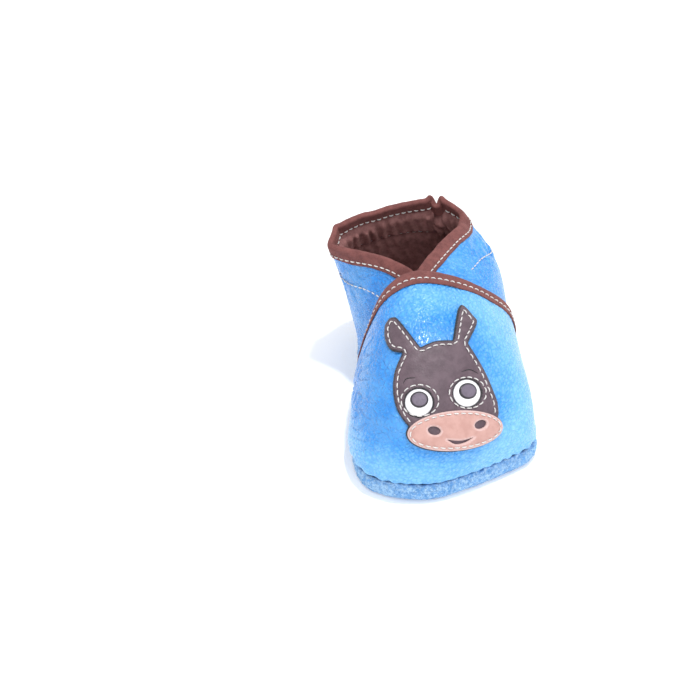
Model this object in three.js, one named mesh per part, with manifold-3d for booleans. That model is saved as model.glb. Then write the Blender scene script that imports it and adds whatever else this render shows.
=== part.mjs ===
// A baby's soft leather bootie for the left foot: a turned-up suede sole, a leather vamp with a
// donkey face sewn on it, and a wrap-round heel quarter whose two ends cross under the vamp.
// Millimetres. +Z is up, the toe points to -Y, +X is the outer side of the foot, and the origin
// is on the ground under the middle of the bootie.

import * as THREE from "three";
import { mergeVertices } from "three/addons/utils/BufferGeometryUtils.js";
import Module from "manifold-3d";

const wasm = await Module();
wasm.setup();

// ---------------------------------------------------------------- driving dimensions

const LEATHER = 1.0; // upper leather
const LINING = 0.5; // cotton lining
const TAPE = 0.5; // cotton binding tape
const GAP = 0.3; // clearance between pieces that touch
const SUEDE = 1.6; // outsole
const PAD = 1.4; // foam pad
const INSOLE = 0.6; // footbed
const ELASTIC = 0.8; // elastic's thickness
const THREAD = 0.35; // sewing thread's radius

const VAMP_TAPE_WIDTH = 6.2; // how far the vamp's binding reaches down from its edge
const COLLAR_TAPE_WIDTH = 5.4;
const VAMP_TAPE_SEAM = 3.8; // from the vamp's edge down to its tape's seam
const COLLAR_TAPE_SEAM = 4.0;
const CASING_SEAM = 17; // from the collar's edge down to the seam that closes the elastic's casing

const LINING_TOP = LEATHER + 2 * GAP; // depth of the lining's outer face under the leather's face
const TAPE_DEPTH = LINING_TOP + LINING + GAP + TAPE; // depth of the tape's inner face
const TAPE_HEIGHT = GAP + TAPE; // height of the tape's outer face
const LAP_ROOM = 1.5; // spare room where one piece laps another
const LAP_DEPTH = TAPE_DEPTH + GAP + TAPE_HEIGHT + LAP_ROOM; // how far a lapped piece lies under its cover
const LAP_FOOT = LINING_TOP + LINING + LAP_ROOM; // the same down at the sole, where no tape is in the way
const LAP_HEIGHTS = [9, 20]; // the height over which the one depth becomes the other
const LAP_SLOPE = 0.8; // how steeply a lapped piece comes up beyond its cover's edge
const LAP_REACH = [3, 13]; // how far beyond its cover's edge a lapped piece is still pressed down

// The middle of the bootie's plan in the coordinates that the outlines below use.
const MIDDLE = new THREE.Vector3(-0.55, 1.44, 0);

const BLUE = 0x2b8fe8;
const SUEDE_BLUE = 0x6aa9ea;
const RED_BROWN = 0x6d3a36;
const DARK_BROWN = 0x50434a;
const TAN = 0xdba593;
const WHITE = 0xf2f0ec;
const FOAM = 0xe9e2d2;

// ---------------------------------------------------------------- shape of the upper

// The line where the upper meets the sole's turned-up edge, once round from the inner waist by
// the toe, the outer waist and the heel.
const RIM = [
  [-24.5, 8, 6.1], [-30.5, -12, 6.3], [-34, -32, 6.9], [-31.5, -46, 7.3], [-22, -53, 7.5],
  [-9, -55.5, 7.5], [5, -51.5, 7.5], [18, -46, 7.5], [28.5, -40, 7.3], [32.8, -31, 6.9],
  [32.5, -14, 6.3], [29.5, 8, 6.1], [28.5, 24, 6.1], [25.5, 41, 6.1], [15, 54, 6.1],
  [1, 58.5, 6.1], [-12, 54, 6.1], [-20, 41, 6.1], [-22.5, 24, 6.1],
].map((point) => new THREE.Vector3(...point));

// Each rib of the vamp goes up from the rim: its place on the rim, then three handles of a cubic
// curve, the last one on the throat's edge.
const VAMP_RIBS = [
  [0.1, [-25, 8, 7.5], [-25, 8, 9], [-24, 8, 10.5]],
  [1.1, [-32, -12, 15.5], [-29.5, -3, 24.5], [-23.5, 3.5, 29.5]],
  [2.4, [-36, -38, 21.5], [-27, -20, 44.5], [-20.5, -1, 47.5]],
  [3.9, [-27.5, -60, 23.5], [-21, -32, 53.5], [-16, -3, 57]],
  [5, [-9, -66.5, 23.5], [-8, -33, 58.5], [-8, -3.5, 61.5]],
  [6.2, [10, -61, 23.5], [8, -31, 55.5], [4, -3, 59]],
  [7.9, [30, -45.5, 21.5], [23, -22, 46.5], [17.5, -1.5, 51.5]],
  [9.8, [32, -20, 18.5], [31, -7, 32.5], [29.5, 2, 38]],
  [10.9, [31, 9, 7.5], [31.5, 8.5, 9.5], [30, 8, 11.5]],
];

// The heel quarter's ribs, from its inner front end round the heel to its outer front end. The
// last handle is on the collar's edge.
const QUARTER_RIBS = [
  [19.55, [-29, -8, 34.5], [-16, -12, 54.5], [10, -9, 55.5]],
  [18.3, [-24.5, 17, 21.5], [-28.5, 11, 44.5], [-14.5, 10, 59.3]],
  [17.2, [-23.5, 38, 21.5], [-30, 30, 41.5], [-34, 26, 58]],
  [16.1, [-17, 59, 21.5], [-26, 50, 41.5], [-26, 38, 61.5]],
  [15, [1, 65, 21.5], [-4, 60, 43.5], [-6, 45.5, 62]],
  [14, [20, 59, 21.5], [18, 56, 43.5], [10, 46.5, 63]],
  [13, [32.5, 40, 23.5], [36, 37, 43.5], [20, 35, 60.5]],
  [12, [36, 18, 25.5], [36, 10, 45.5], [8, 19, 61.5]],
  [10.45, [33, -8, 31.5], [20, -16, 57.5], [-13.4, -8.3, 57.5]],
];

// A point on the Catmull-Rom curve through a list of vectors. An open list goes on straight past
// its two ends.
function splinePoint(points, place, closed) {
  const last = points.length - (closed ? 0 : 1);
  const at = closed ? THREE.MathUtils.euclideanModulo(place, last) : THREE.MathUtils.clamp(place, 0, last);
  const start = closed ? Math.floor(at) : Math.min(Math.floor(at), last - 1);
  const pick = (index) => {
    if (closed) return points[THREE.MathUtils.euclideanModulo(index, last)];
    if (index < 0) return points[0].clone().multiplyScalar(2).sub(points[1]);
    if (index > last) return points[last].clone().multiplyScalar(2).sub(points[last - 1]);
    return points[index];
  };
  const [a, b, c, d] = [-1, 0, 1, 2].map((step) => pick(start + step));
  const t = at - start;
  const blend = (p, q, r, s) =>
    0.5 * (2 * q + (r - p) * t + (2 * p - 5 * q + 4 * r - s) * t * t + (3 * q - p - 3 * r + s) * t ** 3);
  return new THREE.Vector3(blend(a.x, b.x, c.x, d.x), blend(a.y, b.y, c.y, d.y), blend(a.z, b.z, c.z, d.z));
}

const rimPoint = (place) => splinePoint(RIM, place, true);

// The surface through a row of ribs: u runs 0 to 1 along the row, v from the rim to the top edge.
function ribbedSurface(ribs) {
  const places = ribs.map(([place]) => new THREE.Vector3(place, 0, 0));
  const handles = [1, 2, 3].map((column) => ribs.map((rib) => new THREE.Vector3(...rib[column])));
  return (u, v) => {
    const along = u * (ribs.length - 1);
    const foot = rimPoint(splinePoint(places, along, false).x);
    const [low, high, top] = handles.map((column) => splinePoint(column, along, false));
    const w = 1 - v;
    return foot.multiplyScalar(w ** 3)
      .addScaledVector(low, 3 * w * w * v)
      .addScaledVector(high, 3 * w * v * v)
      .addScaledVector(top, v ** 3);
  };
}

// A surface's points on an even grid of u and v.
function sampleNet(surface, across, up) {
  return Array.from({ length: across + 1 }, (_, i) =>
    Array.from({ length: up + 1 }, (_unused, j) => surface(i / across, j / up)));
}

// A surface kept as a net of points, which is quick to ask for a point, a slope or a normal.
// facing is 1 or -1, whichever turns the normals outwards.
function makeSkin(net, facing) {
  const across = net.length - 1;
  const up = net[0].length - 1;
  const at = (u, v) => {
    const column = THREE.MathUtils.clamp(u, 0, 1) * across;
    const first = THREE.MathUtils.clamp(Math.floor(column) - 1, 0, across - 3);
    const near = [0, 1, 2, 3].map((step) => splinePoint(net[first + step], v * up, false));
    return splinePoint(near, column - first, false);
  };
  const step = 0.004;
  const slope = (u, v, alongU) => {
    const [du, dv] = alongU ? [step, 0] : [0, step];
    const ahead = at(Math.min(u + du, 1), Math.min(v + dv, 1));
    const behind = at(Math.max(u - du, 0), Math.max(v - dv, 0));
    const span = alongU
      ? Math.min(u + du, 1) - Math.max(u - du, 0)
      : Math.min(v + dv, 1) - Math.max(v - dv, 0);
    return ahead.sub(behind).divideScalar(span);
  };
  const normal = (u, v) => slope(u, v, true).cross(slope(u, v, false)).normalize().multiplyScalar(facing);
  const off = (u, v, height) => at(u, v).addScaledVector(normal(u, v), height);
  // v at a distance down from the top edge, measured along the surface
  const down = (u, distance) => {
    const steps = 60;
    let v = 1;
    let length = 0;
    let point = at(u, 1);
    while (v > 0) {
      const next = at(u, v - 1 / steps);
      const stride = next.distanceTo(point);
      if (length + stride >= distance) return v - ((distance - length) / stride) / steps;
      length += stride;
      v -= 1 / steps;
      point = next;
    }
    return 0;
  };
  return { at, slope, normal, off, down, net, across, up };
}

// The place on a skin nearest to a point: the nearest point of its net, then smaller and smaller
// steps round it.
function nearestPlace(skin, point, from, to) {
  let best = { u: from, v: 0, distance: Infinity };
  const consider = (u, v, place) => {
    const distance = place.distanceTo(point);
    if (distance < best.distance) best = { u, v, distance };
  };
  for (let i = Math.ceil(from * skin.across); i <= to * skin.across; i += 1) {
    for (let j = 0; j <= skin.up; j += 1) consider(i / skin.across, j / skin.up, skin.net[i][j]);
  }
  const farOff = LAP_REACH[1] + 2;
  if (best.distance > farOff) return best;
  let [stepU, stepV] = [0.5 / skin.across, 0.5 / skin.up];
  const turns = 7;
  for (let turn = 0; turn < turns; turn += 1) {
    const { u, v } = best;
    for (const [a, b] of [[-1, -1], [-1, 0], [-1, 1], [0, -1], [0, 1], [1, -1], [1, 0], [1, 1]]) {
      const tryU = THREE.MathUtils.clamp(u + a * stepU, from, to);
      const tryV = THREE.MathUtils.clamp(v + b * stepV, 0, 1);
      consider(tryU, tryV, skin.at(tryU, tryV));
    }
    stepU *= 0.6;
    stepV *= 0.6;
  }
  return best;
}

// Moves a point down until it lies under a cover, and lets it come up beyond the cover's edge.
function tuckUnder(cover, point, from, to) {
  const { u, v, distance } = nearestPlace(cover, point, from, to);
  if (distance > LAP_REACH[1]) return point;
  const normal = cover.normal(THREE.MathUtils.clamp(u, 0.05, 0.95), v);
  const away = point.clone().sub(cover.at(u, v));
  const height = away.dot(normal);
  const beyond = away.addScaledVector(normal, -height).length();
  const rise = THREE.MathUtils.smoothstep(point.z, LAP_HEIGHTS[0], LAP_HEIGHTS[1]);
  const excess = height + THREE.MathUtils.lerp(LAP_FOOT, LAP_DEPTH, rise) - LAP_SLOPE * beyond;
  const softness = 0.8;
  const drop = 0.5 * (excess + Math.hypot(excess, softness));
  const outside = v >= 1 || u <= from || u >= to;
  const fade = outside ? 1 - THREE.MathUtils.smoothstep(distance, LAP_REACH[0], LAP_REACH[1]) : 1;
  return point.addScaledVector(normal, -drop * fade);
}

const SMOOTHING = 14; // how often the moves are evened out

// Points tucked under a cover, as one soft bend: each point's move is evened out with its
// neighbours' moves. Only the columns from 0 to lastColumn are tucked.
function tuckNet(net, cover, from, to, lastColumn) {
  const none = new THREE.Vector3();
  let moves = net.map((column, i) => column.map((point) =>
    (i > lastColumn ? none : tuckUnder(cover, point.clone(), from, to).sub(point))));
  for (let pass = 0; pass < SMOOTHING; pass += 1) {
    moves = moves.map((column, i) => column.map((move, j) => {
      const left = moves[Math.max(i - 1, 0)][j];
      const right = moves[Math.min(i + 1, moves.length - 1)][j];
      const below = column[Math.max(j - 1, 0)];
      const above = column[Math.min(j + 1, column.length - 1)];
      return left.clone().add(right).add(below).add(above).multiplyScalar(0.125).addScaledVector(move, 0.5);
    }));
  }
  return net.map((column, i) => column.map((point, j) => point.clone().add(moves[i][j])));
}

const QUARTER_NET = 96; // columns of the quarter's net
const vampSkin = makeSkin(sampleNet(ribbedSurface(VAMP_RIBS), 64, 24), 1);
const bareQuarter = sampleNet(ribbedSurface(QUARTER_RIBS), QUARTER_NET, 28);
const underVamp = tuckNet(bareQuarter, vampSkin, 0, 1, QUARTER_NET);
// The quarter's inner end goes under its outer end where they cross.
const INNER_COLUMNS = 34; // how many columns of the net the inner end has
const OUTER_FROM = 0.7; // where the outer end starts
const underOuter = tuckNet(underVamp, makeSkin(underVamp, -1), OUTER_FROM, 1, INNER_COLUMNS);
const quarterSkin = makeSkin(underOuter, -1);

// ---------------------------------------------------------------- making solids

// A closed mesh from points and faces, turned the right way out.
function closedGeometry(points, triangles) {
  let volume = 0;
  for (const [a, b, c] of triangles) {
    volume += points[a].dot(points[b].clone().cross(points[c])) / 6;
  }
  const index = triangles.flatMap(([a, b, c]) => (volume > 0 ? [a, b, c] : [a, c, b]));
  const numbers = points.flatMap(({ x, y, z }) => [x, y, z]);
  const geometry = new THREE.BufferGeometry();
  geometry.setAttribute("position", new THREE.Float32BufferAttribute(numbers, 3));
  geometry.setIndex(index);
  return geometry;
}

// Rows of points joined into a skin of triangles. loop says that each row closes on itself.
function stripTriangles(rows, loop, ring) {
  const triangles = [];
  const width = rows[0];
  const count = rows.length;
  for (let i = 0; i < (ring ? count : count - 1); i += 1) {
    const [near, far] = [rows[i], rows[(i + 1) % count]];
    for (let j = 0; j < (loop ? width.length : width.length - 1); j += 1) {
      const k = (j + 1) % width.length;
      triangles.push([near[j], far[j], far[k]], [near[j], far[k], near[k]]);
    }
  }
  return triangles;
}

// A tube whose sections all have the same number of points. It is a ring, or it has two flat ends.
function sweptGeometry(sections, ring) {
  const points = sections.flat();
  const rows = sections.map((section, i) => section.map((_, j) => i * section.length + j));
  const triangles = stripTriangles(rows, true, ring);
  if (!ring) {
    const ends = [rows[0], [...rows[rows.length - 1]].reverse()];
    for (const end of ends) {
      const flat = THREE.ShapeUtils.triangulateShape(flatSection(end.map((k) => points[k])), []);
      for (const [a, b, c] of flat) triangles.push([end[a], end[b], end[c]]);
    }
  }
  return closedGeometry(points, triangles);
}

// A section's points in its own plane, turned so that they run anticlockwise.
function flatSection(points) {
  const middle = points.reduce((sum, p) => sum.add(p), new THREE.Vector3()).divideScalar(points.length);
  const normal = new THREE.Vector3();
  points.forEach((p, i) => {
    const q = points[(i + 1) % points.length];
    normal.add(p.clone().sub(middle).cross(q.clone().sub(middle)));
  });
  normal.normalize();
  const right = points[0].clone().sub(middle);
  right.addScaledVector(normal, -right.dot(normal)).normalize();
  const up = normal.clone().cross(right);
  return points.map((p) => {
    const away = p.clone().sub(middle);
    return new THREE.Vector2(away.dot(right), away.dot(up));
  });
}

// A sheet of a skin between two heights, with columns from one u to another. rowsAt gives a
// column's v values, bottom to top. Each height is a number or a function of u and the row.
function sheetGeometry(skin, { from, to, columns, rowsAt, outer, inner }) {
  const sides = [outer, inner].map((height) => {
    const heightAt = typeof height === "function" ? height : () => height;
    const rows = [];
    for (let i = 0; i <= columns; i += 1) {
      const u = THREE.MathUtils.lerp(from, to, i / columns);
      rows.push(rowsAt(u).map((v, j) => skin.off(u, v, heightAt(u, j))));
    }
    return rows;
  });
  const up = sides[0][0].length - 1;
  // each section goes up the outer side and down the inner side
  const sections = sides[0].map((row, i) => [...row, ...[...sides[1][i]].reverse()]);
  const points = sections.flat();
  const rows = sections.map((section, i) => section.map((_, j) => i * section.length + j));
  const triangles = stripTriangles(rows, true, false);
  for (const end of [rows[0], rows[rows.length - 1]]) {
    for (let j = 0; j < up; j += 1) {
      const [a, b, c, d] = [end[j], end[j + 1], end[end.length - 2 - j], end[end.length - 1 - j]];
      const faces = [[a, b, c], [a, c, d]];
      triangles.push(...(end === rows[0] ? faces : faces.map(([p, q, r]) => [p, r, q])));
    }
  }
  return closedGeometry(points, triangles);
}

const evenRows = (from, to, count) => () =>
  Array.from({ length: count + 1 }, (_, j) => THREE.MathUtils.lerp(from, to, j / count));

// A tape folded over the top edge of a skin: its section is a U round the leather and lining.
function tapeGeometry(skin, width, from, to, steps) {
  const top = TAPE_HEIGHT;
  const low = -TAPE_DEPTH;
  const innerWidth = width - 0.6; // the inner half is a little narrower
  // distance down from the edge, height over the leather's face
  const section = [
    [width, GAP], [width, top], [width * 0.5, top], [0.3, top], [-0.6, top - 0.5], [-0.8, -0.9],
    [-0.6, low + 0.5], [0.3, low], [innerWidth, low], [innerWidth, low + TAPE],
    [innerWidth * 0.5, low + TAPE], [-GAP, low + TAPE], [-GAP, GAP], [width * 0.5, GAP],
  ];
  const sections = [];
  for (let i = 0; i <= steps; i += 1) {
    const u = THREE.MathUtils.lerp(from, to, i / steps);
    const outward = skin.slope(u, 1, false).normalize();
    const edgeNormal = skin.normal(u, 1);
    sections.push(section.map(([distance, height]) => {
      if (distance >= 0) return skin.off(u, skin.down(u, distance), height);
      return skin.at(u, 1).addScaledVector(outward, -distance).addScaledVector(edgeNormal, height);
    }));
  }
  return sweptGeometry(sections, false);
}

// A thread along a list of points, with the outward direction at each of them.
function threadGeometry(path, ring) {
  const sides = 4;
  const sections = path.map(({ point, normal }, i) => {
    const before = path[ring ? (i + path.length - 1) % path.length : Math.max(i - 1, 0)].point;
    const after = path[ring ? (i + 1) % path.length : Math.min(i + 1, path.length - 1)].point;
    const along = after.clone().sub(before).normalize();
    const aside = along.clone().cross(normal).normalize();
    const out = aside.clone().cross(along);
    return Array.from({ length: sides }, (_, k) => {
      const turn = (2 * Math.PI * k) / sides;
      return point.clone()
        .addScaledVector(aside, THREAD * Math.cos(turn))
        .addScaledVector(out, THREAD * Math.sin(turn));
    });
  });
  return sweptGeometry(sections, ring);
}

// A thread along a skin, a fixed distance below its top edge.
function edgeThread(skin, distance, height, from, to, steps) {
  const path = [];
  for (let i = 0; i <= steps; i += 1) {
    const u = THREE.MathUtils.lerp(from, to, i / steps);
    const v = skin.down(u, distance);
    path.push({ point: skin.off(u, v, height + GAP + THREAD), normal: skin.normal(u, v) });
  }
  return threadGeometry(path, false);
}

function toSolid(geometry) {
  const bare = geometry.clone();
  bare.deleteAttribute("normal");
  bare.deleteAttribute("uv");
  const merged = mergeVertices(bare, 1e-5);
  return new wasm.Manifold(new wasm.Mesh({
    numProp: 3,
    vertProperties: new Float32Array(merged.attributes.position.array),
    triVerts: new Uint32Array(merged.index.array),
  }));
}

function toGeometry(solid) {
  const mesh = solid.getMesh();
  const geometry = new THREE.BufferGeometry();
  geometry.setAttribute("position", new THREE.BufferAttribute(new Float32Array(mesh.vertProperties), 3));
  geometry.setIndex(new THREE.BufferAttribute(new Uint32Array(mesh.triVerts), 1));
  return geometry;
}

const group = new THREE.Group();
const paint = (color, roughness) => new THREE.MeshStandardMaterial({ color, roughness, metalness: 0 });

function addPiece(name, geometry, material) {
  const mesh = new THREE.Mesh(geometry, material);
  mesh.name = name;
  mesh.position.copy(MIDDLE).negate();
  group.add(mesh);
}

// ---------------------------------------------------------------- sole

const inwardAt = (place) => {
  const along = rimPoint(place + 0.05).sub(rimPoint(place - 0.05)).setZ(0).normalize();
  return new THREE.Vector3(-along.y, along.x, 0);
};

// A closed solid from rings that go from the middle of its underside out, up and back to the
// middle of its top.
function ringedGeometry(rings, lowMiddle, highMiddle) {
  const count = rings[0].length;
  const points = [lowMiddle, ...rings.flat(), highMiddle];
  const rows = rings.map((ring, i) => ring.map((_, j) => 1 + i * count + j));
  const triangles = stripTriangles(rows, true, false);
  const last = points.length - 1;
  for (let j = 0; j < count; j += 1) {
    const k = (j + 1) % count;
    triangles.push([0, rows[0][j], rows[0][k]], [last, rows[rows.length - 1][k], rows[rows.length - 1][j]]);
  }
  return closedGeometry(points, triangles);
}

const SOLE_STEPS = 52;
const SOLE_BULGE = 0.9; // how far the turned-up wall swells past the rim
const soleMiddle = new THREE.Vector3(0, 0, 0);

// A ring round the sole, at a distance inside the rim and a height that may follow the rim's.
function soleRing(inset, height) {
  return Array.from({ length: SOLE_STEPS }, (_, i) => {
    const place = (i / SOLE_STEPS) * RIM.length;
    const rim = rimPoint(place);
    const z = typeof height === "function" ? height(rim.z) : height;
    return rim.addScaledVector(inwardAt(place), inset).setZ(z);
  });
}

// The outsole's section: the underside's round edge, the wall that swells and comes in again below
// the upper, and the inside back down to the floor.
function outsole() {
  const rings = [
    soleRing(2.6, 0),
    soleRing(0.8, 0.25),
    soleRing(-0.4, 1.3),
    soleRing(-SOLE_BULGE, (rim) => rim * 0.45),
    soleRing(-0.6, (rim) => rim * 0.75),
    soleRing(0.1, (rim) => rim - GAP),
    soleRing(SUEDE, (rim) => rim - GAP),
    soleRing(SUEDE + 0.3, 2.8),
    soleRing(SUEDE + 2.2, SUEDE),
  ];
  return ringedGeometry(rings, soleMiddle.clone(), soleMiddle.clone().setZ(SUEDE));
}

function slab(bottom, thickness, inset) {
  const round = thickness * 0.35;
  const rings = [
    soleRing(inset + round, bottom),
    soleRing(inset, bottom + round),
    soleRing(inset, bottom + thickness - round),
    soleRing(inset + round, bottom + thickness),
  ];
  return ringedGeometry(rings, soleMiddle.clone().setZ(bottom), soleMiddle.clone().setZ(bottom + thickness));
}

addPiece("outsole", outsole(), paint(SUEDE_BLUE, 0.95));
const PAD_INSET = 5; // from the rim to the edge of the pad and the insole
addPiece("cushion_pad", slab(SUEDE + GAP, PAD, PAD_INSET), paint(FOAM, 0.9));
addPiece("insole", slab(SUEDE + PAD + 2 * GAP, INSOLE, PAD_INSET), paint(RED_BROWN, 0.9));

// ---------------------------------------------------------------- upper

const QUARTER_COLUMNS = 60;
const blueLeather = paint(BLUE, 0.45);
const cotton = paint(RED_BROWN, 0.95);
const leather = { outer: 0, inner: -LEATHER };
const lining = { outer: -LINING_TOP, inner: -LINING_TOP - LINING };

// The quarter's rows: close together by the collar, down to the casing's foot, then even.
const COLLAR_ROWS = [19.5, 16.4, 11, 7.2, 5.1, 2.4];
const LOWER_ROWS = 9;
const quarterRows = (foot, top) => (u) => {
  const low = quarterSkin.down(u, COLLAR_ROWS[0]);
  const lower = evenRows(foot, low, LOWER_ROWS)();
  const upper = COLLAR_ROWS.slice(1).map((distance) => quarterSkin.down(u, distance));
  return [...lower, ...upper, quarterSkin.down(u, top)];
};

addPiece(
  "vamp",
  sheetGeometry(vampSkin, { from: 0, to: 1, columns: 32, rowsAt: evenRows(0, 1, 12), ...leather }),
  blueLeather,
);
addPiece(
  "heel_quarter",
  sheetGeometry(quarterSkin, {
    from: 0,
    to: 1,
    columns: QUARTER_COLUMNS,
    rowsAt: quarterRows(0.01, 0),
    ...leather,
  }),
  blueLeather,
);
addPiece(
  "vamp_lining",
  sheetGeometry(vampSkin, { from: 0.02, to: 0.98, columns: 32, rowsAt: evenRows(0.03, 0.98, 10), ...lining }),
  cotton,
);

// The lining stands off the leather on the two rows that the elastic lies between.
const ELASTIC_FROM = 0.2;
const ELASTIC_TO = 0.82;
const ELASTIC_ROWS = [15.6, 11, 7.7]; // from the collar's edge down to the elastic's foot, middle and top
const CASING_ROWS = [LOWER_ROWS + 1, LOWER_ROWS + 2, LOWER_ROWS + 3];
const casingRoom = (u, row) => {
  const spare = 0.03;
  const inCasing = u > ELASTIC_FROM - spare && u < ELASTIC_TO + spare && CASING_ROWS.includes(row);
  return inCasing ? ELASTIC + GAP : 0;
};
addPiece(
  "quarter_lining",
  sheetGeometry(quarterSkin, {
    from: 0,
    to: 1,
    columns: QUARTER_COLUMNS,
    rowsAt: quarterRows(0.03, 0.4),
    outer: (u, row) => -LINING_TOP - casingRoom(u, row),
    inner: (u, row) => -LINING_TOP - LINING - casingRoom(u, row),
  }),
  cotton,
);
addPiece(
  "ankle_elastic",
  sheetGeometry(quarterSkin, {
    from: ELASTIC_FROM,
    to: ELASTIC_TO,
    columns: 30,
    rowsAt: (u) => ELASTIC_ROWS.map((distance) => quarterSkin.down(u, distance)),
    outer: -LINING_TOP,
    inner: -LINING_TOP - ELASTIC,
  }),
  paint(WHITE, 0.9),
);
addPiece("vamp_binding", tapeGeometry(vampSkin, VAMP_TAPE_WIDTH, 0.01, 0.99, 40), cotton);
addPiece("collar_binding", tapeGeometry(quarterSkin, COLLAR_TAPE_WIDTH, 0, 1, QUARTER_COLUMNS), cotton);

// ---------------------------------------------------------------- donkey face

// The face is drawn in a plane that faces the front and up, and laid back onto the vamp.
const FACE_MIDDLE = new THREE.Vector3(-4.2, -47.7, 38.5);
const FACE_TURN = THREE.MathUtils.degToRad(-13);
const FACE_TILT = THREE.MathUtils.degToRad(36);
const faceOut = new THREE.Vector3(
  Math.sin(FACE_TURN) * Math.cos(FACE_TILT),
  -Math.cos(FACE_TURN) * Math.cos(FACE_TILT),
  Math.sin(FACE_TILT),
);
const faceRight = new THREE.Vector3(Math.cos(FACE_TURN), Math.sin(FACE_TURN), 0);
const faceUp = faceOut.clone().cross(faceRight);

// The place on the vamp behind a point of the face's plane.
function vampPlace(x, y) {
  let [u, v] = [0.53 + x / 90, 0.47 + y / 75];
  for (let turn = 0; turn < 8; turn += 1) {
    const away = vampSkin.at(u, v).sub(FACE_MIDDLE);
    const miss = [x - away.dot(faceRight), y - away.dot(faceUp)];
    const [du, dv] = [vampSkin.slope(u, v, true), vampSkin.slope(u, v, false)];
    const [a, b, c, d] = [du.dot(faceRight), dv.dot(faceRight), du.dot(faceUp), dv.dot(faceUp)];
    const det = a * d - b * c;
    u = THREE.MathUtils.clamp(u + (d * miss[0] - b * miss[1]) / det, 0.05, 0.95);
    v = THREE.MathUtils.clamp(v + (a * miss[1] - c * miss[0]) / det, 0.05, 0.98);
  }
  return [u, v];
}

// The head's outline, in runs between its corners: the left cheek and ear, the crown between the
// ears, and the right ear and cheek.
const HEAD_RUNS = [
  [[1, -14], [-7, -13.5], [-12.2, -10.4], [-16.2, -5.1], [-17.8, 0.7], [-17.7, 7.5], [-15.5, 14.2]],
  [
    [-15.5, 14.2], [-19.4, 15], [-21.5, 18.3], [-22.1, 22.9], [-20.9, 25.7], [-19.4, 26.4],
    [-17.4, 25.4], [-9.7, 16.3],
  ],
  [[-9.7, 16.3], [-4.8, 18.7], [1.1, 19.4]],
  [[1.1, 19.4], [1.8, 26.5], [2.5, 31], [3.9, 32], [7.6, 28.5], [8.9, 26], [6.1, 18.8]],
  [[6.1, 18.8], [11.6, 10.6], [15.8, 2.4], [17.3, -2], [17, -6.5], [10, -12], [1, -14]],
];
const EYES = { left: [-9.2, -2.3], right: [6.6, 1.7] };
const EYE_RADIUS = 4.6;
const PUPILS = { left: [-9.1, -1.3], right: [6.8, 2.4] };
const PUPIL_RADII = [3.0, 2.7];
const EYE_SEAMS = { left: [-8.9, -1.6], right: [6.7, 1.8] };
const EYE_SEAM_RADII = [6.1, 5.2];
const MUZZLE = { middle: [3.2, -10.9], radii: [15.7, 6.5], turn: THREE.MathUtils.degToRad(8) };
const NOSTRILS = [[-3.8, -11.3], [11.1, -8.5]];
const NOSTRIL_RADII = [2.1, 1.4];
const HEAD_SEAM_INSET = 1.4;
const MUZZLE_ROOM = 1.1; // how far the head's seam keeps from the muzzle
const MOUTH = [[0.3, -14.0], [4.6, -14.1], [9.0, -12.8], [6.4, -14.6], [3.3, -15.4]];

function smoothRun(points, steps) {
  const knots = points.map(([x, y]) => new THREE.Vector3(x, y, 0));
  return Array.from({ length: steps * (points.length - 1) }, (_, i) => {
    const point = splinePoint(knots, i / steps, false);
    return new THREE.Vector2(point.x, point.y);
  });
}

function ellipseOutline([x, y], [a, b], turn, steps) {
  return Array.from({ length: steps }, (_, i) => {
    const angle = (2 * Math.PI * i) / steps;
    return new THREE.Vector2(a * Math.cos(angle), b * Math.sin(angle))
      .rotateAround(new THREE.Vector2(0, 0), turn)
      .add(new THREE.Vector2(x, y));
  });
}

// The outline moved inwards by a distance.
function insetOutline(outline, distance) {
  const turned = THREE.ShapeUtils.isClockWise(outline) ? -1 : 1;
  return outline.map((point, i) => {
    const before = outline[(i + outline.length - 1) % outline.length];
    const after = outline[(i + 1) % outline.length];
    const along = after.clone().sub(before).normalize();
    return new THREE.Vector2(point.x - turned * along.y * distance, point.y + turned * along.x * distance);
  });
}

const headOutline = HEAD_RUNS.flatMap((run) => smoothRun(run, 4));
const muzzleOutline = (grow, steps) =>
  ellipseOutline(MUZZLE.middle, MUZZLE.radii.map((radius) => radius + grow), MUZZLE.turn, steps);

// A block with the outline as its section, standing square on the face's plane.
function faceBlock(outline) {
  const deep = 46; // long enough to go right through the vamp
  const block = new THREE.ExtrudeGeometry(new THREE.Shape(outline), { depth: deep, bevelEnabled: false });
  const place = new THREE.Matrix4().makeBasis(faceRight, faceUp, faceOut);
  place.setPosition(FACE_MIDDLE.clone().addScaledVector(faceOut, -deep * 0.7));
  return toSolid(block.applyMatrix4(place));
}

// A layer between two heights over the vamp, as wide as the face needs.
function vampLayer(low, high) {
  return toSolid(sheetGeometry(vampSkin, {
    from: 0.22,
    to: 0.86,
    columns: 13,
    rowsAt: evenRows(0.12, 0.97, 13),
    outer: high,
    inner: low,
  }));
}

const APPLIQUE = 0.8; // the face's leather
const EYE_WHITE = 0.4; // the eye whites' leather, which is thinner
const WHITE_TOP = GAP + EYE_WHITE;
const HEAD_TOP = GAP + APPLIQUE;
const MUZZLE_LOW = HEAD_TOP + GAP;
const MUZZLE_TOP = MUZZLE_LOW + APPLIQUE;

const joined = (solids) => solids.reduce((sum, next) => sum.add(next));
const sideNames = ["left", "right"];
const eyeBlock = (side, radius, steps) => faceBlock(ellipseOutline(EYES[side], [radius, radius], 0, steps));

const eyeWell = joined(sideNames.map((side) => eyeBlock(side, EYE_RADIUS + GAP, 28)));
// the head goes on under the whole muzzle
const headBlock = faceBlock(headOutline).add(faceBlock(muzzleOutline(0.4, 40))).subtract(eyeWell);
addPiece(
  "donkey_head",
  toGeometry(vampLayer(GAP, HEAD_TOP).intersect(headBlock)),
  paint(DARK_BROWN, 0.75),
);

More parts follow.
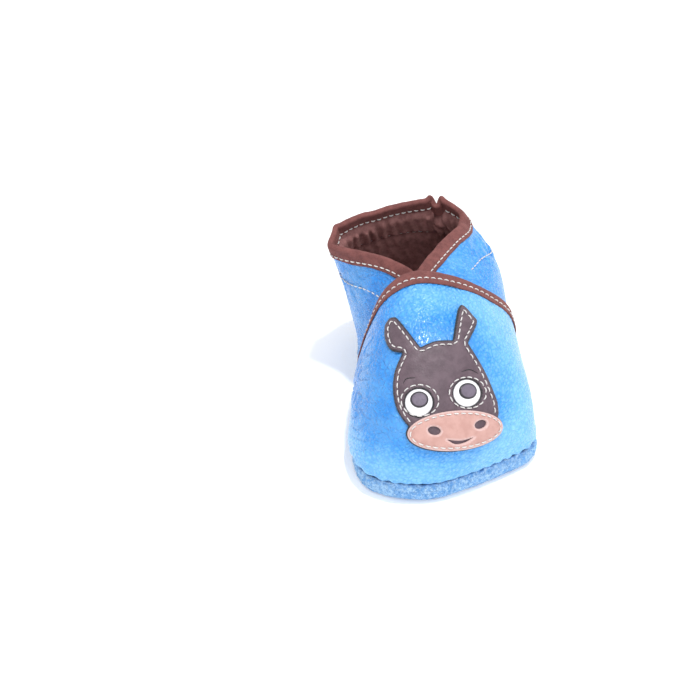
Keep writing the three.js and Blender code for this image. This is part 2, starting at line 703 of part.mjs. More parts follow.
const nostrilBlock = (middle) => faceBlock(ellipseOutline(middle, NOSTRIL_RADII, 0, 16));
const nostrilBlocks = joined(NOSTRILS.map(nostrilBlock));
const mouthBlock = faceBlock(MOUTH.map(([x, y]) => new THREE.Vector2(x, y)));
const muzzleBlock = faceBlock(muzzleOutline(0, 40)).subtract(nostrilBlocks).subtract(mouthBlock);
addPiece(
  "donkey_muzzle",
  toGeometry(vampLayer(MUZZLE_LOW, MUZZLE_TOP).intersect(muzzleBlock)),
  paint(TAN, 0.8),
);

for (const side of sideNames) {
  const white = vampLayer(GAP, WHITE_TOP).intersect(eyeBlock(side, EYE_RADIUS, 28));
  addPiece(`eye_white_${side}`, toGeometry(white), paint(WHITE, 0.7));
  const pupil = faceBlock(ellipseOutline(PUPILS[side], PUPIL_RADII, 0, 22));
  const disc = vampLayer(WHITE_TOP + GAP, WHITE_TOP + GAP + APPLIQUE).intersect(pupil);
  addPiece(`pupil_${side}`, toGeometry(disc), paint(DARK_BROWN, 0.7));
}

// ---------------------------------------------------------------- sewing threads

function faceThread(outline, height, ring = true) {
  const path = outline.map(({ x, y }) => {
    const [u, v] = vampPlace(x, y);
    return { point: vampSkin.off(u, v, height + GAP + THREAD), normal: vampSkin.normal(u, v) };
  });
  return threadGeometry(path, ring);
}

// The head's seam runs inside its outline from one end of the muzzle round to the other. Points
// that come too near to the outline, in its sharp corners, or to the muzzle are left out.
function headSeam() {
  const inset = insetOutline(headOutline, HEAD_SEAM_INSET);
  const nearest = (point) => Math.min(...headOutline.map((other) => other.distanceTo(point)));
  const { middle, radii, turn } = MUZZLE;
  const clearOfMuzzle = ({ x, y }) => {
    const away = new THREE.Vector2(x - middle[0], y - middle[1]);
    const local = away.rotateAround(new THREE.Vector2(0, 0), -turn);
    return Math.hypot(local.x / (radii[0] + MUZZLE_ROOM), local.y / (radii[1] + MUZZLE_ROOM)) > 1;
  };
  return inset.filter((point) => nearest(point) > HEAD_SEAM_INSET * 0.9 && clearOfMuzzle(point));
}

const thread = paint(WHITE, 0.8);
addPiece("thread_head", faceThread(headSeam(), HEAD_TOP, false), thread);
for (const side of sideNames) {
  const ring = ellipseOutline(EYE_SEAMS[side], EYE_SEAM_RADII, 0, 30);
  addPiece(`thread_eye_${side}`, faceThread(ring, HEAD_TOP), thread);
}
addPiece("thread_muzzle", faceThread(muzzleOutline(-1, 44), MUZZLE_TOP), thread);
addPiece("thread_vamp_binding", edgeThread(vampSkin, VAMP_TAPE_SEAM, TAPE_HEIGHT, 0.06, 0.94, 40), thread);
addPiece("thread_collar", edgeThread(quarterSkin, COLLAR_TAPE_SEAM, TAPE_HEIGHT, 0.16, 0.84, 36), thread);
addPiece("thread_casing", edgeThread(quarterSkin, CASING_SEAM, 0, 0.14, 0.86, 36), thread);

export default group;
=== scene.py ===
"""A baby's soft leather bootie: its looks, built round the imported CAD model.

The upper's surfaces are worked out from the same ribs as the CAD model, in millimetres, and the
leather grain, seams, gathers and stitches are added to them.
"""

import math

import bpy
import numpy as np
from mathutils import Matrix, Vector, noise
from mathutils.geometry import delaunay_2d_cdt


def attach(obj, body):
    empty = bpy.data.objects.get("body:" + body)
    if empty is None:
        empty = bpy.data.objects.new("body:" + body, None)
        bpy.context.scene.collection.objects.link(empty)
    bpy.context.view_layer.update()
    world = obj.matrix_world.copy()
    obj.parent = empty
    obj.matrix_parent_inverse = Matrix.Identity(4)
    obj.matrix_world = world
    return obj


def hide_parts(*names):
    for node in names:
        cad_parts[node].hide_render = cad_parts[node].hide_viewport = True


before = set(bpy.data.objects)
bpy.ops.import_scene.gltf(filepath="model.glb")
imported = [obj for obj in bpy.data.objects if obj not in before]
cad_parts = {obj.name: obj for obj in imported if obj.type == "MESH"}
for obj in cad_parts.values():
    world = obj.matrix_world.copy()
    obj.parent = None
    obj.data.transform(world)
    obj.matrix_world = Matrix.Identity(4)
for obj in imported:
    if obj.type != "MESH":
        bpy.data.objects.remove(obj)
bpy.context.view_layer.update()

MM = 0.001
BODY = "root"

# ---------------------------------------------------------------- sizes, in millimetres

LEATHER = 1.0
LINING = 0.5
TAPE = 0.5
GAP = 0.3
SUEDE = 1.6
THREAD = 0.24
ELASTIC = 0.8
ELASTIC_FROM, ELASTIC_TO = 0.2, 0.82
ELASTIC_TOP, ELASTIC_FOOT = 7.9, 15.3
STITCH_PITCH = 2.55
STITCH_LENGTH = 1.95

VAMP_TAPE_WIDTH = 6.2
COLLAR_TAPE_WIDTH = 5.4
CASING_SEAM = (15.4, 18.4)  # below the collar's edge: near its two ends, and round the back

LINING_TOP = LEATHER + 2 * GAP
TAPE_DEPTH = LINING_TOP + LINING + GAP + TAPE
TAPE_HEIGHT = GAP + TAPE
LAP_DEPTH = TAPE_DEPTH + GAP + TAPE_HEIGHT + 1.5  # how far a lapped piece lies under its cover
LAP_FOOT = 1.7  # the same down at the sole
LAP_HEIGHTS = (9, 20)  # between these heights the one depth turns into the other
LAP_SLOPE = 0.8
LAP_SOFTNESS = 0.8
LAP_REACH = (3, 13)  # past the cover's edge the lap fades out between these distances
LAP_SMOOTHINGS = 14

MIDDLE = np.array([-0.55, 1.44, 0])  # the middle of the CAD model's box, in the ribs' frame

# The rim, where the upper meets the sole, as points of a closed curve.
RIM = [
    (-24.5, 8, 6.1), (-30.5, -12, 6.3), (-34, -32, 6.9), (-31.5, -46, 7.3), (-22, -53, 7.5),
    (-9, -55.5, 7.5), (5, -51.5, 7.5), (18, -46, 7.5), (28.5, -40, 7.3), (32.8, -31, 6.9),
    (32.5, -14, 6.3), (29.5, 8, 6.1), (28.5, 24, 6.1), (25.5, 41, 6.1), (15, 54, 6.1),
    (1, 58.5, 6.1), (-12, 54, 6.1), (-20, 41, 6.1), (-22.5, 24, 6.1),
]
# Each rib: its place on the rim, then the handles of the cubic curve that goes up from there.
VAMP_RIBS = [
    (0.1, (-25, 8, 7.5), (-25, 8, 9), (-24, 8, 10.5)),
    (1.1, (-32, -12, 15.5), (-29.5, -3, 24.5), (-23.5, 3.5, 29.5)),
    (2.4, (-36, -38, 21.5), (-27, -20, 44.5), (-20.5, -1, 47.5)),
    (3.9, (-27.5, -60, 23.5), (-21, -32, 53.5), (-16, -3, 57)),
    (5, (-9, -66.5, 23.5), (-8, -33, 58.5), (-8, -3.5, 61.5)),
    (6.2, (10, -61, 23.5), (8, -31, 55.5), (4, -3, 59)),
    (7.9, (30, -45.5, 21.5), (23, -22, 46.5), (17.5, -1.5, 51.5)),
    (9.8, (32, -20, 18.5), (31, -7, 32.5), (29.5, 2, 38)),
    (10.9, (31, 9, 7.5), (31.5, 8.5, 9.5), (30, 8, 11.5)),
]
QUARTER_RIBS = [
    (19.55, (-29, -8, 34.5), (-16, -12, 54.5), (10, -9, 55.5)),
    (18.3, (-24.5, 17, 21.5), (-28.5, 11, 44.5), (-14.5, 10, 59.3)),
    (17.2, (-23.5, 38, 21.5), (-30, 30, 41.5), (-34, 26, 58)),
    (16.1, (-17, 59, 21.5), (-26, 50, 41.5), (-26, 38, 61.5)),
    (15, (1, 65, 21.5), (-4, 60, 43.5), (-6, 45.5, 62)),
    (14, (20, 59, 21.5), (18, 56, 43.5), (10, 46.5, 63)),
    (13, (32.5, 40, 23.5), (36, 37, 43.5), (20, 35, 60.5)),
    (12, (36, 18, 25.5), (36, 10, 45.5), (8, 19, 61.5)),
    (10.45, (33, -8, 31.5), (20, -16, 57.5), (-13.4, -8.3, 57.5)),
]

# ---------------------------------------------------------------- camera

CAMERA_ELEVATION = math.radians(34)
CAMERA_AZIMUTH = math.radians(-8)
CAMERA_DISTANCE = 515
CAMERA_TARGET = np.array([0, 0, 31.5])
CAMERA_ASIDE = -30
CAMERA_DOWN = -5
CAMERA_LENS = 72
CAMERA_SENSOR = 36
CAMERA_NEAR = 0.01


def make_camera():
    """The camera looks down at the toe, with the bootie right of the middle of the view."""
    sin_a, cos_a = math.sin(CAMERA_AZIMUTH), math.cos(CAMERA_AZIMUTH)
    sin_e, cos_e = math.sin(CAMERA_ELEVATION), math.cos(CAMERA_ELEVATION)
    back = np.array([sin_a * cos_e, -cos_a * cos_e, sin_e])
    right = np.array([cos_a, sin_a, 0])
    up = np.cross(back, right)
    place = CAMERA_TARGET - MIDDLE + back * CAMERA_DISTANCE + right * CAMERA_ASIDE + up * CAMERA_DOWN
    camera = bpy.data.objects.new("camera", bpy.data.cameras.new("camera"))
    camera.data.lens = CAMERA_LENS
    camera.data.sensor_width = CAMERA_SENSOR
    camera.data.clip_start = CAMERA_NEAR
    turn = Matrix([right, up, back]).transposed().to_4x4()
    camera.matrix_world = Matrix.Translation(Vector(place * MM)) @ turn
    bpy.context.scene.collection.objects.link(camera)
    bpy.context.scene.camera = camera


make_camera()
bpy.context.scene.view_settings.view_transform = "Standard"

# ---------------------------------------------------------------- curves and skins

SLOPE_STEP = 0.004
DOWN_STEPS = 161


def unit(vectors):
    return vectors / np.linalg.norm(vectors, axis=-1, keepdims=True)


def catmull(a, b, c, d, t):
    """The Catmull-Rom curve between b and c."""
    t = np.asarray(t)[..., None]
    return 0.5 * (2 * b + (c - a) * t + (2 * a - 5 * b + 4 * c - d) * t**2 + (3 * b - a - 3 * c + d) * t**3)


def spline(points, place, closed=False):
    """Points on the Catmull-Rom curve through a list of points."""
    points = np.asarray(points, float)
    place = np.asarray(place, float)
    if closed:
        first = np.floor(place).astype(int)
        picks = [points[(first + k) % len(points)] for k in (-1, 0, 1, 2)]
        return catmull(*picks, place - first)
    place = np.clip(place, 0, len(points) - 1)
    first = np.minimum(np.floor(place).astype(int), len(points) - 2)
    longer = np.concatenate([[2 * points[0] - points[1]], points, [2 * points[-1] - points[-2]]])
    return catmull(*[longer[first + k] for k in range(4)], place - first)


def smoothstep(value, low, high):
    """0 up to low, 1 from high on, and a smooth rise between them."""
    t = np.clip((np.asarray(value, float) - low) / (high - low), 0, 1)
    return t * t * (3 - 2 * t)


def bell(value, width):
    """1 at nought, falling softly to 0 a few widths away."""
    return np.exp(-((np.asarray(value) / width) ** 2))


def ribbed_net(ribs, across, up):
    """The surface through a row of ribs, as a net of points."""
    along = np.linspace(0, len(ribs) - 1, across + 1)
    v = np.linspace(0, 1, up + 1)[None, :, None]
    places = spline([[rib[0]] for rib in ribs], along)[:, 0]
    foot = spline(RIM, places, closed=True)[:, None]
    low, high, top = (spline([rib[k] for rib in ribs], along)[:, None] for k in (1, 2, 3))
    w = 1 - v
    return foot * w**3 + 3 * low * w * w * v + 3 * high * w * v * v + top * v**3


class Skin:
    """A surface kept as a net of points: u runs along it, v from the rim to the top edge."""

    def __init__(self, net, facing):
        self.net = net
        self.across = net.shape[0] - 1
        self.up = net.shape[1] - 1
        self.facing = facing
        rows = np.concatenate([2 * net[:1] - net[1:2], net, 2 * net[-1:] - net[-2:-1]])
        sides = [2 * rows[:, :1] - rows[:, 1:2], rows, 2 * rows[:, -1:] - rows[:, -2:-1]]
        self.wider = np.concatenate(sides, axis=1)

    def at(self, u, v):
        """The points at u and v."""
        u, v = np.broadcast_arrays(np.asarray(u, float), np.asarray(v, float))
        along = np.clip(u, 0, 1) * self.across
        high = np.clip(v, 0, 1) * self.up
        i = np.minimum(along.astype(int), self.across - 1)
        j = np.minimum(high.astype(int), self.up - 1)
        columns = [catmull(*[self.wider[i + a, j + b] for b in range(4)], high - j) for a in range(4)]
        return catmull(*columns, along - i)

    def slopes(self, u, v):
        """How the surface runs along u and along v."""
        u, v = np.broadcast_arrays(np.asarray(u, float), np.asarray(v, float))
        u1, u0 = np.minimum(u + SLOPE_STEP, 1), np.maximum(u - SLOPE_STEP, 0)
        v1, v0 = np.minimum(v + SLOPE_STEP, 1), np.maximum(v - SLOPE_STEP, 0)
        du = (self.at(u1, v) - self.at(u0, v)) / (u1 - u0)[..., None]
        dv = (self.at(u, v1) - self.at(u, v0)) / (v1 - v0)[..., None]
        return du, dv

    def normal(self, u, v):
        normal = np.cross(*self.slopes(u, v))
        return normal * self.facing / np.linalg.norm(normal, axis=-1, keepdims=True)

    def off(self, u, v, height):
        """The points at a height over the surface."""
        return self.at(u, v) + self.normal(u, v) * np.asarray(height)[..., None]

    def down(self, u, distance):
        """v at a distance down from the top edge, for each u."""
        u = np.asarray(u, float)
        v = np.linspace(1, 0, DOWN_STEPS)
        line = self.at(u[:, None], v[None])
        length = np.cumsum(np.linalg.norm(np.diff(line, axis=1), axis=-1), axis=1)
        length = np.concatenate([np.zeros((len(u), 1)), length], axis=1)
        distances = np.broadcast_to(distance, u.shape)
        return np.array([np.interp(far, row, v) for far, row in zip(distances, length)])


def nearest_place(skin, points, start, stop):
    """u, v and distance of the nearest place on a skin to each point."""
    first = math.ceil(start * skin.across)
    last = math.floor(stop * skin.across)
    net = skin.net[first:last + 1].reshape(-1, 3)
    near = np.array([np.argmin(((net - point) ** 2).sum(-1)) for point in points])
    u = (near // (skin.up + 1) + first) / skin.across
    v = (near % (skin.up + 1)) / skin.up
    best = np.linalg.norm(skin.at(u, v) - points, axis=-1)
    step_u, step_v = 0.5 / skin.across, 0.5 / skin.up
    for _ in range(7):
        base_u, base_v = u.copy(), v.copy()
        for a, b in ((-1, -1), (-1, 0), (-1, 1), (0, -1), (0, 1), (1, -1), (1, 0), (1, 1)):
            try_u = np.clip(base_u + a * step_u, start, stop)
            try_v = np.clip(base_v + b * step_v, 0, 1)
            distance = np.linalg.norm(skin.at(try_u, try_v) - points, axis=-1)
            better = distance < best
            u[better], v[better], best[better] = try_u[better], try_v[better], distance[better]
        step_u *= 0.6
        step_v *= 0.6
    return u, v, best


def tuck_net(net, cover, start, stop, last_column):
    """A net tucked under a cover as one soft bend, as in the CAD model."""
    points = net[:last_column + 1].reshape(-1, 3)
    u, v, distance = nearest_place(cover, points, start, stop)
    normal = cover.normal(np.clip(u, 0.05, 0.95), v)
    away = points - cover.at(u, v)
    height = (away * normal).sum(-1)
    beyond = np.linalg.norm(away - normal * height[:, None], axis=-1)
    depth = LAP_FOOT + (LAP_DEPTH - LAP_FOOT) * smoothstep(points[:, 2], *LAP_HEIGHTS)
    excess = height + depth - LAP_SLOPE * beyond
    drop = 0.5 * (excess + np.hypot(excess, LAP_SOFTNESS))
    outside = (v >= 1) | (u <= start) | (u >= stop)
    drop *= np.where(outside, 1 - smoothstep(distance, *LAP_REACH), 1)
    drop[distance > LAP_REACH[1]] = 0
    moves = np.zeros_like(net)
    moves[:last_column + 1] = (normal * -drop[:, None]).reshape(last_column + 1, -1, 3)
    for _ in range(LAP_SMOOTHINGS):
        wide = np.pad(moves, ((1, 1), (1, 1), (0, 0)), mode="edge")
        around = wide[:-2, 1:-1] + wide[2:, 1:-1] + wide[1:-1, :-2] + wide[1:-1, 2:]
        moves = around * 0.125 + moves * 0.5
    return net + moves


# ---------------------------------------------------------------- noise

NOISE_GAIN = 1.6
PEBBLE_SHOULDER = 0.42  # how far in from its crease a pebble's top begins, in pebbles


def grain(points, size, seed=0.0):
    """Smooth noise from about -1 to 1 at each point, with lumps of a size in millimetres."""
    flat = points.reshape(-1, 3) / size + seed
    return np.array([noise.noise(p) for p in flat.tolist()]).reshape(points.shape[:-1]) * NOISE_GAIN


def pebbles(points, size):
    """Leather pebbles: 1 on their tops, 0 in the creases between them."""
    wobble = np.stack([grain(points, size * 1.3, seed) for seed in (3.1, 7.7, 11.3)], -1)
    warped = points + 0.25 * size * wobble
    values = []
    for p in (warped.reshape(-1, 3) / size).tolist():
        near = noise.voronoi(p)[0]
        values.append(near[1] - near[0])
    return smoothstep(np.array(values), 0.0, PEBBLE_SHOULDER).reshape(points.shape[:-1])


# ---------------------------------------------------------------- meshes


def make_object(name, points, faces, material, uv=None, tint=None):
    """A mesh object from points in millimetres, riding on the bootie's body."""
    mesh = bpy.data.meshes.new(name)
    mesh.from_pydata(((points - MIDDLE) * MM).tolist(), [], faces)
    mesh.materials.append(material)
    mesh.polygons.foreach_set("use_smooth", [True] * len(mesh.polygons))
    corners = np.empty(len(mesh.loops), np.int32)
    mesh.loops.foreach_get("vertex_index", corners)
    if uv is not None:
        layer = mesh.uv_layers.new(name="UVMap")
        layer.data.foreach_set("uv", np.asarray(uv, np.float32)[corners].ravel())
    if tint is not None:
        layer = mesh.attributes.new("tint", "FLOAT", "POINT")
        layer.data.foreach_set("value", np.asarray(tint, np.float32))
    mesh.validate()
    piece = bpy.data.objects.new(name, mesh)
    bpy.context.scene.collection.objects.link(piece)
    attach(piece, BODY)
    return piece


def grid_faces(index, flip):
    """Quads between the rows and columns of a table of point numbers."""
    a, b, c, d = index[:-1, :-1], index[1:, :-1], index[1:, 1:], index[:-1, 1:]
    corners = [a, d, c, b] if flip else [a, b, c, d]
    return np.stack([corner.ravel() for corner in corners], -1).tolist()


def shell_object(name, outer, inner, facing, material, uv, tint=None):
    """A closed sheet. The inner side has fewer rows than the outer one, evenly spread."""
    columns, rows = outer.shape[:2]
    inner_rows = inner.shape[1]
    every = (rows - 1) // (inner_rows - 1)
    top = np.arange(columns * rows).reshape(columns, rows)
    low = np.arange(columns * inner_rows).reshape(columns, inner_rows) + top.size
    flip = facing < 0
    faces = grid_faces(top, flip) + grid_faces(low, not flip)
    faces += grid_faces(np.stack([low[:, 0], top[:, 0]], 1), flip)
    faces += grid_faces(np.stack([top[:, -1], low[:, -1]], 1), flip)
    for column, turned in ((0, not flip), (columns - 1, flip)):
        for row in range(inner_rows - 1):
            edge = top[column, row * every:(row + 1) * every + 1].tolist()
            side = edge + [int(low[column, row + 1]), int(low[column, row])]
            faces.append(side if turned else side[::-1])
    points = np.concatenate([outer.reshape(-1, 3), inner.reshape(-1, 3)])
    both = [uv.reshape(-1, 2), uv[:, ::every].reshape(-1, 2)]
    if tint is not None:
        tint = np.concatenate([tint.ravel(), tint[:, ::every].ravel()])
    return make_object(name, points, faces, material, np.concatenate(both), tint)


def tube_faces(sections, ring_size, start=0):
    """Faces of a tube of sections of ring_size points, with flat ends."""
    index = np.arange(sections * ring_size).reshape(sections, ring_size) + start
    wrapped = np.concatenate([index, index[:, :1]], axis=1)
    return grid_faces(wrapped, False) + [index[0].tolist(), index[-1][::-1].tolist()]


def arc_lengths(path, closed=False):
    """How far along a line each of its points lies."""
    if closed:
        path = np.concatenate([path, path[:1]])
    steps = np.linalg.norm(np.diff(path, axis=0), axis=-1)
    return np.concatenate([[0], np.cumsum(steps)])


def surface_grid(skin, u, v):
    """Points and normals of a grid, the distance of each point from the top row, and its run along it."""
    points = skin.at(u[:, None], v[None])
    normal = skin.normal(u[:, None], v[None])
    steps = np.linalg.norm(np.diff(points, axis=1), axis=-1)[:, ::-1]
    edge = np.cumsum(np.concatenate([np.zeros((len(u), 1)), steps], axis=1), axis=1)[:, ::-1]
    run = arc_lengths(points[:, len(v) // 2])[:, None]
    return points, normal, edge, np.broadcast_to(run, edge.shape)


# ---------------------------------------------------------------- the two skins

VAMP_NET = (64, 24)
QUARTER_NET = (96, 28)
FINE_NET = (481, 85)
INNER_FLAP_FROM = 0.7  # the heel piece's flap that lies under the other one starts here
INNER_FLAP_COLUMNS = 34
PLEAT_AT = 0.62
PLEAT_WIDTH = 0.0105
PLEAT_SIDES = 1.6 * PLEAT_WIDTH
# The collar is creased at two places on the inner side, and flat between them: place, width, push.
COLLAR_CREASES = ((0.335, 0.012, 0.9), (0.245, 0.014, 0.7), (0.29, 0.026, -1.0))
CORNER_AT, CORNER_WIDTH = 0.765, 0.05

vamp_skin = Skin(ribbed_net(VAMP_RIBS, *VAMP_NET), 1)
under_vamp = tuck_net(ribbed_net(QUARTER_RIBS, *QUARTER_NET), vamp_skin, 0, 1, QUARTER_NET[0])
cad_quarter = Skin(
    tuck_net(under_vamp, Skin(under_vamp, -1), INNER_FLAP_FROM, 1, INNER_FLAP_COLUMNS), -1)


def pleated_quarter():
    """The heel quarter with its collar's small waves and the pleat at the back."""
    u = np.linspace(0, 1, FINE_NET[0])[:, None]
    v = np.linspace(0, 1, FINE_NET[1])[None]
    net = cad_quarter.at(u, v)
    normal = cad_quarter.normal(u, v)
    upwards = unit(cad_quarter.slopes(u, v)[1])
    run = arc_lengths(net[:, -1])[:, None]
    back = smoothstep(u, 0.22, 0.3) * (1 - smoothstep(u, 0.74, 0.8))
    near_edge = smoothstep(v, 0.72, 1)
    wave = grain(np.stack([run + 0 * v, 0 * run + 0 * v, 0 * run + 0 * v], -1), 9, 4.2)
    pleat = bell(u - PLEAT_AT, PLEAT_WIDTH)
    aside = bell(u - PLEAT_AT + PLEAT_SIDES, PLEAT_WIDTH) + bell(u - PLEAT_AT - PLEAT_SIDES, PLEAT_WIDTH)
    lift = (0.45 * wave * back - 2.3 * pleat + 0.75 * aside) * near_edge
    push = (0.35 * wave * back - 1.5 * pleat + 0.9 * aside) * near_edge
    push += sum(most * bell(u - place, width) for place, width, most in COLLAR_CREASES) * near_edge
    # the outer corner, where the collar turns down into the outer flap, is drawn in and up
    turn = bell(u - CORNER_AT, CORNER_WIDTH) * near_edge
    lift += 1.2 * turn
    push -= 2.2 * turn
    return Skin(net + upwards * lift[..., None] + normal * push[..., None], -1)


quarter_skin = pleated_quarter()

# ---------------------------------------------------------------- materials


class Nodes:
    """Builds one material's nodes."""

    def __init__(self, name, color, roughness):
        self.material = bpy.data.materials.new(name)
        self.material.use_nodes = True
        self.tree = self.material.node_tree
        self.shader = next(n for n in self.tree.nodes if n.type == "BSDF_PRINCIPLED")
        self.set(self.shader, "Base Color", (*color, 1))
        self.set(self.shader, "Roughness", roughness)
        self.place = self.add("ShaderNodeTexCoord").outputs["Object"]
        self.uv = self.add("ShaderNodeTexCoord").outputs["UV"]

    def add(self, kind, **settings):
        """Adds a node."""
        node = self.tree.nodes.new(kind)
        for key, value in settings.items():
            setattr(node, key, value)
        return node

    def link(self, out, socket):
        """Links an output to an input."""
        self.tree.links.new(out, socket)

    def set(self, node, socket, value):
        """Sets an input's own value."""
        node.inputs[socket].default_value = value

    def noise(self, size, detail=3, rough=0.55):
        """Soft noise with lumps of a size in millimetres."""
        node = self.add("ShaderNodeTexNoise")
        self.link(self.place, node.inputs["Vector"])
        self.set(node, "Scale", 1 / MM / size)
        self.set(node, "Detail", detail)
        self.set(node, "Roughness", rough)
        return node.outputs["Fac"]

    def cells(self, size, place=None):
        """The distance from the edges of cells of a size in millimetres."""
        node = self.add("ShaderNodeTexVoronoi", feature="DISTANCE_TO_EDGE")
        self.link(place or self.place, node.inputs["Vector"])
        self.set(node, "Scale", 1 / (size * MM))
        return node.outputs["Distance"]

    def stretched(self, scale):
        """The place, scaled along each axis."""
        node = self.add("ShaderNodeMapping")
        self.link(self.place, node.inputs["Vector"])
        self.set(node, "Scale", scale)
        return node.outputs["Vector"]

    def warped(self, place, size, reach):
        """The place moved about by noise, so that patterns made from it aren't regular."""
        wobble = self.add("ShaderNodeTexNoise")
        self.link(place, wobble.inputs["Vector"])
        self.set(wobble, "Scale", 1 / (size * MM))
        centred = self.add("ShaderNodeVectorMath", operation="SUBTRACT")
        self.link(wobble.outputs["Color"], centred.inputs[0])
        self.set(centred, 1, (0.5, 0.5, 0.5))
        scaled = self.add("ShaderNodeVectorMath", operation="SCALE")
        self.link(centred.outputs["Vector"], scaled.inputs[0])
        self.set(scaled, "Scale", reach * MM)
        moved = self.add("ShaderNodeVectorMath", operation="ADD")
        self.link(place, moved.inputs[0])
        self.link(scaled.outputs["Vector"], moved.inputs[1])
        return moved.outputs["Vector"]

    def attribute(self, name):
        """A number that the mesh has at each point."""
        return self.add("ShaderNodeAttribute", attribute_name=name).outputs["Fac"]

    def math(self, operation, a, b=0.0, clamp=False):
        """One operation on two values; each is a number or an output."""
        node = self.add("ShaderNodeMath", operation=operation, use_clamp=clamp)
        for socket, value in zip(node.inputs, (a, b)):
            if isinstance(value, (int, float)):
                socket.default_value = value
            else:
                self.link(value, socket)
        return node.outputs["Value"]

    def spread(self, value, low, high, to_low=0.0, to_high=1.0):
        """A value from low to high, spread smoothly over another range."""
        node = self.add("ShaderNodeMapRange", interpolation_type="SMOOTHSTEP")
        self.link(value, node.inputs["Value"])
        for key, number in (("From Min", low), ("From Max", high), ("To Min", to_low), ("To Max", to_high)):
            self.set(node, key, number)
        return node.outputs["Result"]

    def mix(self, share, one, other):
        """Mixes two colours; each is a colour or another mix."""
        node = self.add("ShaderNodeMix", data_type="RGBA")
        self.link(share, node.inputs[0])
        for socket, value in ((node.inputs[6], one), (node.inputs[7], other)):
            if isinstance(value, tuple):
                socket.default_value = (*value, 1)
            else:
                self.link(value, socket)
        return node.outputs[2]

    def color(self, out):
        """Links a colour to the shader."""
        self.link(out, self.shader.inputs["Base Color"])

    def finish(self, **values):
        """Sets the shader's own inputs, with underscores for spaces, and gives the material."""
        for key, value in values.items():
            self.set(self.shader, key.replace("_", " "), value)
        return self.material

    def rough(self, out):
        """Links a roughness to the shader."""
        self.link(out, self.shader.inputs["Roughness"])

    def bump(self, *layers):
        """Bump from (height, depth in millimetres) pairs."""
        normal = None
        for height, depth in layers:
            node = self.add("ShaderNodeBump")
            self.set(node, "Strength", 1)
            self.set(node, "Distance", depth * MM)
            self.link(height, node.inputs["Height"])
            if normal:
                self.link(normal, node.inputs["Normal"])
            normal = node.outputs["Normal"]
        self.link(normal, self.shader.inputs["Normal"])


def srgb(red, green, blue):
    """A linear colour from 0-255 values."""
    values = [c / 255 for c in (red, green, blue)]
    return tuple(c / 12.92 if c < 0.04045 else ((c + 0.055) / 1.055) ** 2.4 for c in values)


def leather_material(name, light, dark, worn, roughness):
    """Pebbled leather, by its tint attribute: 1 on the plain leather, less in the deep creases, which take
    painted shade, below 0 in the groove above the sole, which takes darker painted shade, and up to 2 where
    it is stretched, which makes it smoother and adds a painted highlight that makes it lighter."""
    m = Nodes(name, light, roughness)
    tint = m.attribute("tint")
    stretched = m.math("SUBTRACT", tint, 1.0, clamp=True)
    place = m.warped(m.stretched(GRAIN_STRETCH), 2.4, 1.3)
    pebble = m.spread(m.cells(2.3, place), 0.0, 0.4)
    little = m.spread(m.cells(1.3, place), 0.0, 0.5)
    grain_tops = m.math("ADD", m.math("MULTIPLY", pebble, 0.78), m.math("MULTIPLY", little, 0.22))
    patches = m.spread(m.noise(11), 0.3, 0.7)
    # painted shade in the pebble creases, shallower where the leather is stretched
    crease_shade_share = m.spread(stretched, 0, 1, 0.3, 0.14)
    creases = m.math("MULTIPLY", m.math("SUBTRACT", 1.0, grain_tops), crease_shade_share)
    base = m.mix(creases, m.mix(m.math("MINIMUM", tint, 1.0), dark, light), dark)
    base = m.mix(m.math("MULTIPLY", patches, 0.25), base, worn)
    # painted highlight: the stretched places are mixed towards the pale blue
    with_painted_highlight = m.mix(m.math("MULTIPLY", stretched, 0.85), base, worn)
    # painted shade in the groove above the sole, where the tint falls below 0.2
    m.color(m.mix(m.spread(tint, -0.8, 0.2), SEAM_SHADE, with_painted_highlight))
    m.rough(m.spread(m.noise(2.2), 0.3, 0.7, roughness - 0.07, roughness + 0.09))
    grain_height = m.math("MULTIPLY", grain_tops, m.spread(stretched, 0, 1, 1.0, 0.7))
    m.bump((grain_height, 0.4), (m.noise(0.4, 2), 0.005))
    return m.finish(Specular_IOR_Level=0.45, Coat_Weight=0.2, Coat_Roughness=0.12)


def cut_leather_material(name, light, dark, edge, roughness):
    """Smooth cut leather. The tint attribute is 0 on its scorched cut edge and 1 inside."""
    m = Nodes(name, light, roughness)
    mottle = m.spread(m.noise(3.4, 5), 0.32, 0.68)
    base = m.mix(mottle, dark, light)
    m.color(m.mix(m.attribute("tint"), edge, base))
    m.rough(m.spread(m.noise(1.6), 0.3, 0.7, roughness - 0.08, roughness + 0.08))
    m.bump((m.cells(0.85), 0.07), (m.noise(0.16, 2), 0.03))
    return m.finish(Sheen_Weight=0.15, Sheen_Roughness=0.5)


def cotton_material(name, light, dark, fuzz):
    """Plain woven cotton; its threads follow the piece's UV, in millimetres."""
    m = Nodes(name, light, 0.92)
    warp = m.add("ShaderNodeTexWave", wave_type="BANDS", bands_direction="X")
    weft = m.add("ShaderNodeTexWave", wave_type="BANDS", bands_direction="Y")
    for node in (warp, weft):
        m.link(m.uv, node.inputs["Vector"])
        m.set(node, "Scale", 0.72)
        m.set(node, "Distortion", 0.5)
        m.set(node, "Detail", 1)
    weave = m.math("MULTIPLY", warp.outputs["Fac"], weft.outputs["Fac"])
    slubs = m.spread(m.noise(2.5, 5), 0.3, 0.72)
    fine = m.spread(m.noise(0.35, 2), 0.35, 0.7)
    worn = m.mix(slubs, dark, light)
    m.color(m.mix(m.math("MULTIPLY", fine, 0.25), worn, fuzz))
    m.bump((weave, 0.06), (m.noise(0.3, 3), 0.05))
    return m.finish(Sheen_Weight=0.35, Sheen_Roughness=0.45, Sheen_Tint=(*fuzz, 1))


